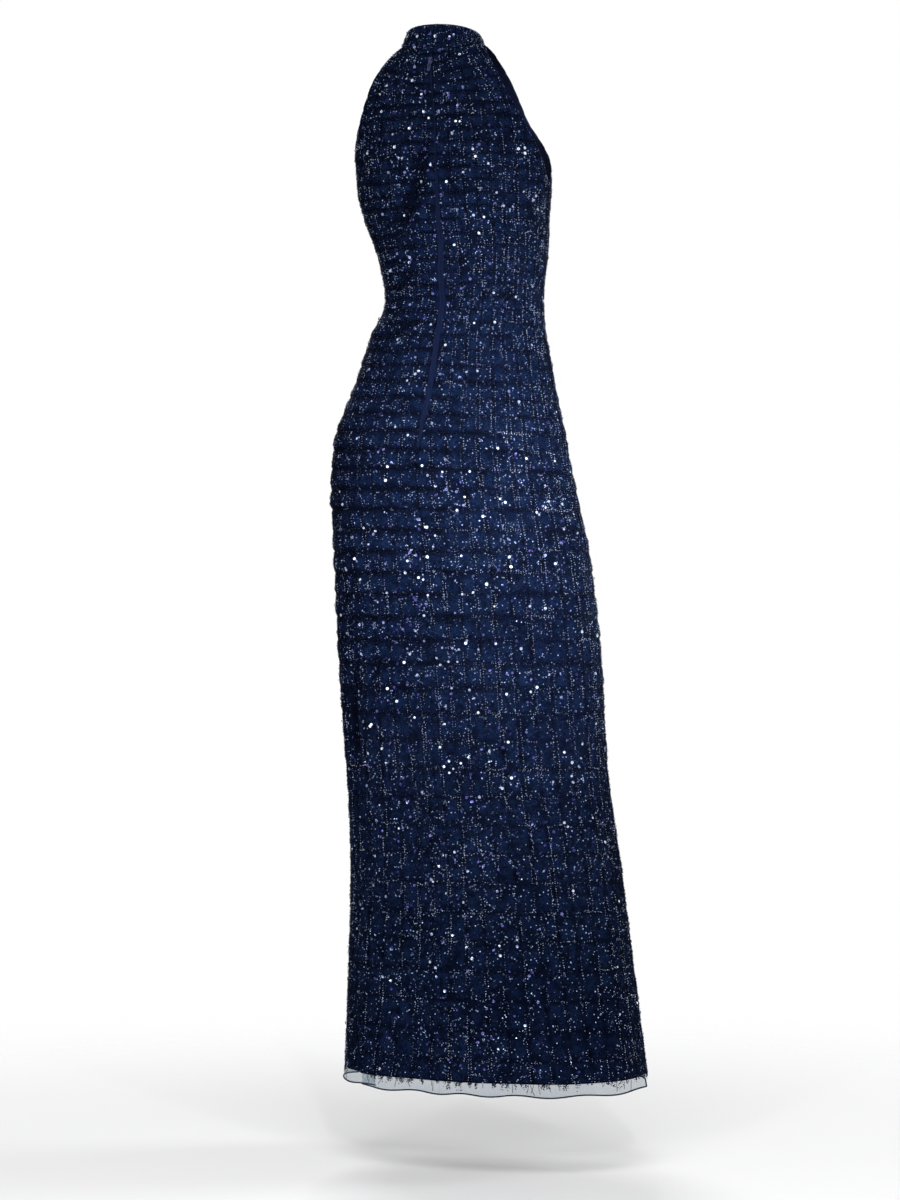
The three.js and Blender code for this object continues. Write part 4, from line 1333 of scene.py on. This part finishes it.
def tubeMesh(name, path, radius, sides, finish):
    # A round edge along a path of points
    along = np.gradient(path, axis=0)
    along /= np.linalg.norm(along, axis=1, keepdims=True)
    up = np.tile(np.array([0.0, 0.0, 1.0]), (len(path), 1))
    side = np.cross(along, up)
    side /= np.linalg.norm(side, axis=1, keepdims=True)
    lift = np.cross(side, along)
    turn = np.linspace(0, 2 * math.pi, sides, endpoint=False)[None, :, None]
    ring = (side[:, None] * np.cos(turn) + lift[:, None] * np.sin(turn)) * radius
    points = (path[:, None] + ring).reshape(-1, 3)
    faces = []
    for step in range(len(path) - 1):
        for corner in range(sides):
            after = (corner + 1) % sides
            a, b = step * sides + corner, step * sides + after
            faces.append((a, b, b + sides, a + sides))
    faces.append(tuple(range(sides))[::-1])
    faces.append(tuple(range((len(path) - 1) * sides, len(path) * sides)))
    mesh = bpy.data.meshes.new(name)
    mesh.from_pydata(points.tolist(), [], faces)
    mesh.materials.append(finishes[finish])
    mesh.polygons.foreach_set("use_smooth", np.ones(len(faces), bool))
    mesh.update()
    return pieceOf(name, mesh)


def hemEnds(panel):
    return float(panel["start"](cloth["hem"])), float(panel["end"](cloth["hem"]))


def makeBorder(panel):
    start, end = hemEnds(panel)
    columns = round((end - start) / border["degreesAColumn"])
    angles = np.linspace(start, end, columns + 1)[None, :]
    shares = np.linspace(-border["hidden"], 1, border["rows"])[:, None]
    angle, share = np.broadcast_arrays(angles, shares)
    inner = borderPoint(panel, angle, share, -border["thickness"])
    piece = wallMesh("hemNet" + panel["label"], borderPoint(panel, angle, share, 0.0), inner,
                     list(range(border["rows"])), "sheerNet")
    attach(piece, "gown")
    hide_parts("hem_mesh_" + panel["node"])
    foot = borderPoint(panel, angles[0], np.ones(columns + 1), border["edgeLift"])
    edge = tubeMesh("hemEdge" + panel["label"], foot, border["edgeRadius"], border["edgeSides"], "overlock")
    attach(edge, "gown")
    top = borderPoint(panel, angles[0], np.zeros(columns + 1), 0.0)


for panel in panels.values():
    makeBorder(panel)


hanging = {"apart": 2.6, "sizes": (0.3, 1.6), "beads": 15, "spread": 0.50, "fall": 0.18, "lowest": 0.7,
           "endMargin": 0.4, "lift": 0.0006, "size": 0.0019, "dim": 0.14}


def hangingBeads():
    # Loose clusters of beads that hang just below the beaded edge
    for panel in panels.values():
        start, end = hemEnds(panel)
        clusters = round((end - start) / hanging["apart"])
        middle = dice.uniform(start + 1, end - 1, clusters)
        size = dice.uniform(*hanging["sizes"], clusters)
        count = (hanging["beads"] * size).astype(int)
        spread = np.repeat(size, count)
        angle = np.repeat(middle, count) + dice.normal(scale=hanging["spread"], size=count.sum()) * spread
        share = np.abs(dice.normal(scale=hanging["fall"], size=count.sum())) * spread
        angle = np.clip(angle, start + hanging["endMargin"], end - hanging["endMargin"])
        places = borderPoint(panel, angle, np.clip(share, 0, hanging["lowest"]), hanging["lift"])
        stamp("hangingBeads" + panel["label"], "seed", places, randomTurns(len(places)),
              seedSizes(len(places), hanging["size"]), beadTones(len(places), hanging["dim"]), "seedBeads")


threads = {"count": 40, "length": (0.35, 1.0), "lean": 1.3, "radius": 0.00042, "endMargin": 3,
           "points": 4, "sides": 3, "top": 0.02, "reach": 0.9, "bend": 1.4, "lift": 0.0009}


def looseThreads():
    # Thread ends that hang from the beaded edge against the net, each with its own lean
    steps = np.linspace(0, 1, threads["points"])
    for panel in panels.values():
        start, end = hemEnds(panel)
        count = round(threads["count"] * panel["share"])
        top = dice.uniform(start + threads["endMargin"], end - threads["endMargin"], count)
        foot = top + dice.normal(scale=threads["lean"], size=count)
        low = dice.uniform(*threads["length"], count)
        pieces = []
        for a, b, share in zip(top, foot, low):
            along = threads["top"] + threads["reach"] * share * steps
            path = borderPoint(panel, a + (b - a) * steps ** threads["bend"], along, threads["lift"])
            pieces.append(tubeMesh("thread", path, threads["radius"], threads["sides"], "overlock"))
        bpy.ops.object.select_all(action="DESELECT")
        for piece in pieces:
            piece.select_set(True)
        bpy.context.view_layer.objects.active = pieces[0]
        bpy.ops.object.join()
        joined = bpy.context.object
        joined.name = "looseThreads" + panel["label"]
        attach(joined, "gown")


hangingBeads()
looseThreads()
print("gown: hem border made")
print("gown: bead triangles", sum(triangleCount.values()), "most in a piece", max(triangleCount.values()))


# The zip's slider and pull keep their solids and take a lacquered finish
for node in ("zip_slider", "zip_pull"):
    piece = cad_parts[node]
    piece.data.materials.clear()
    piece.data.materials.append(finishes["zipLacquer"])
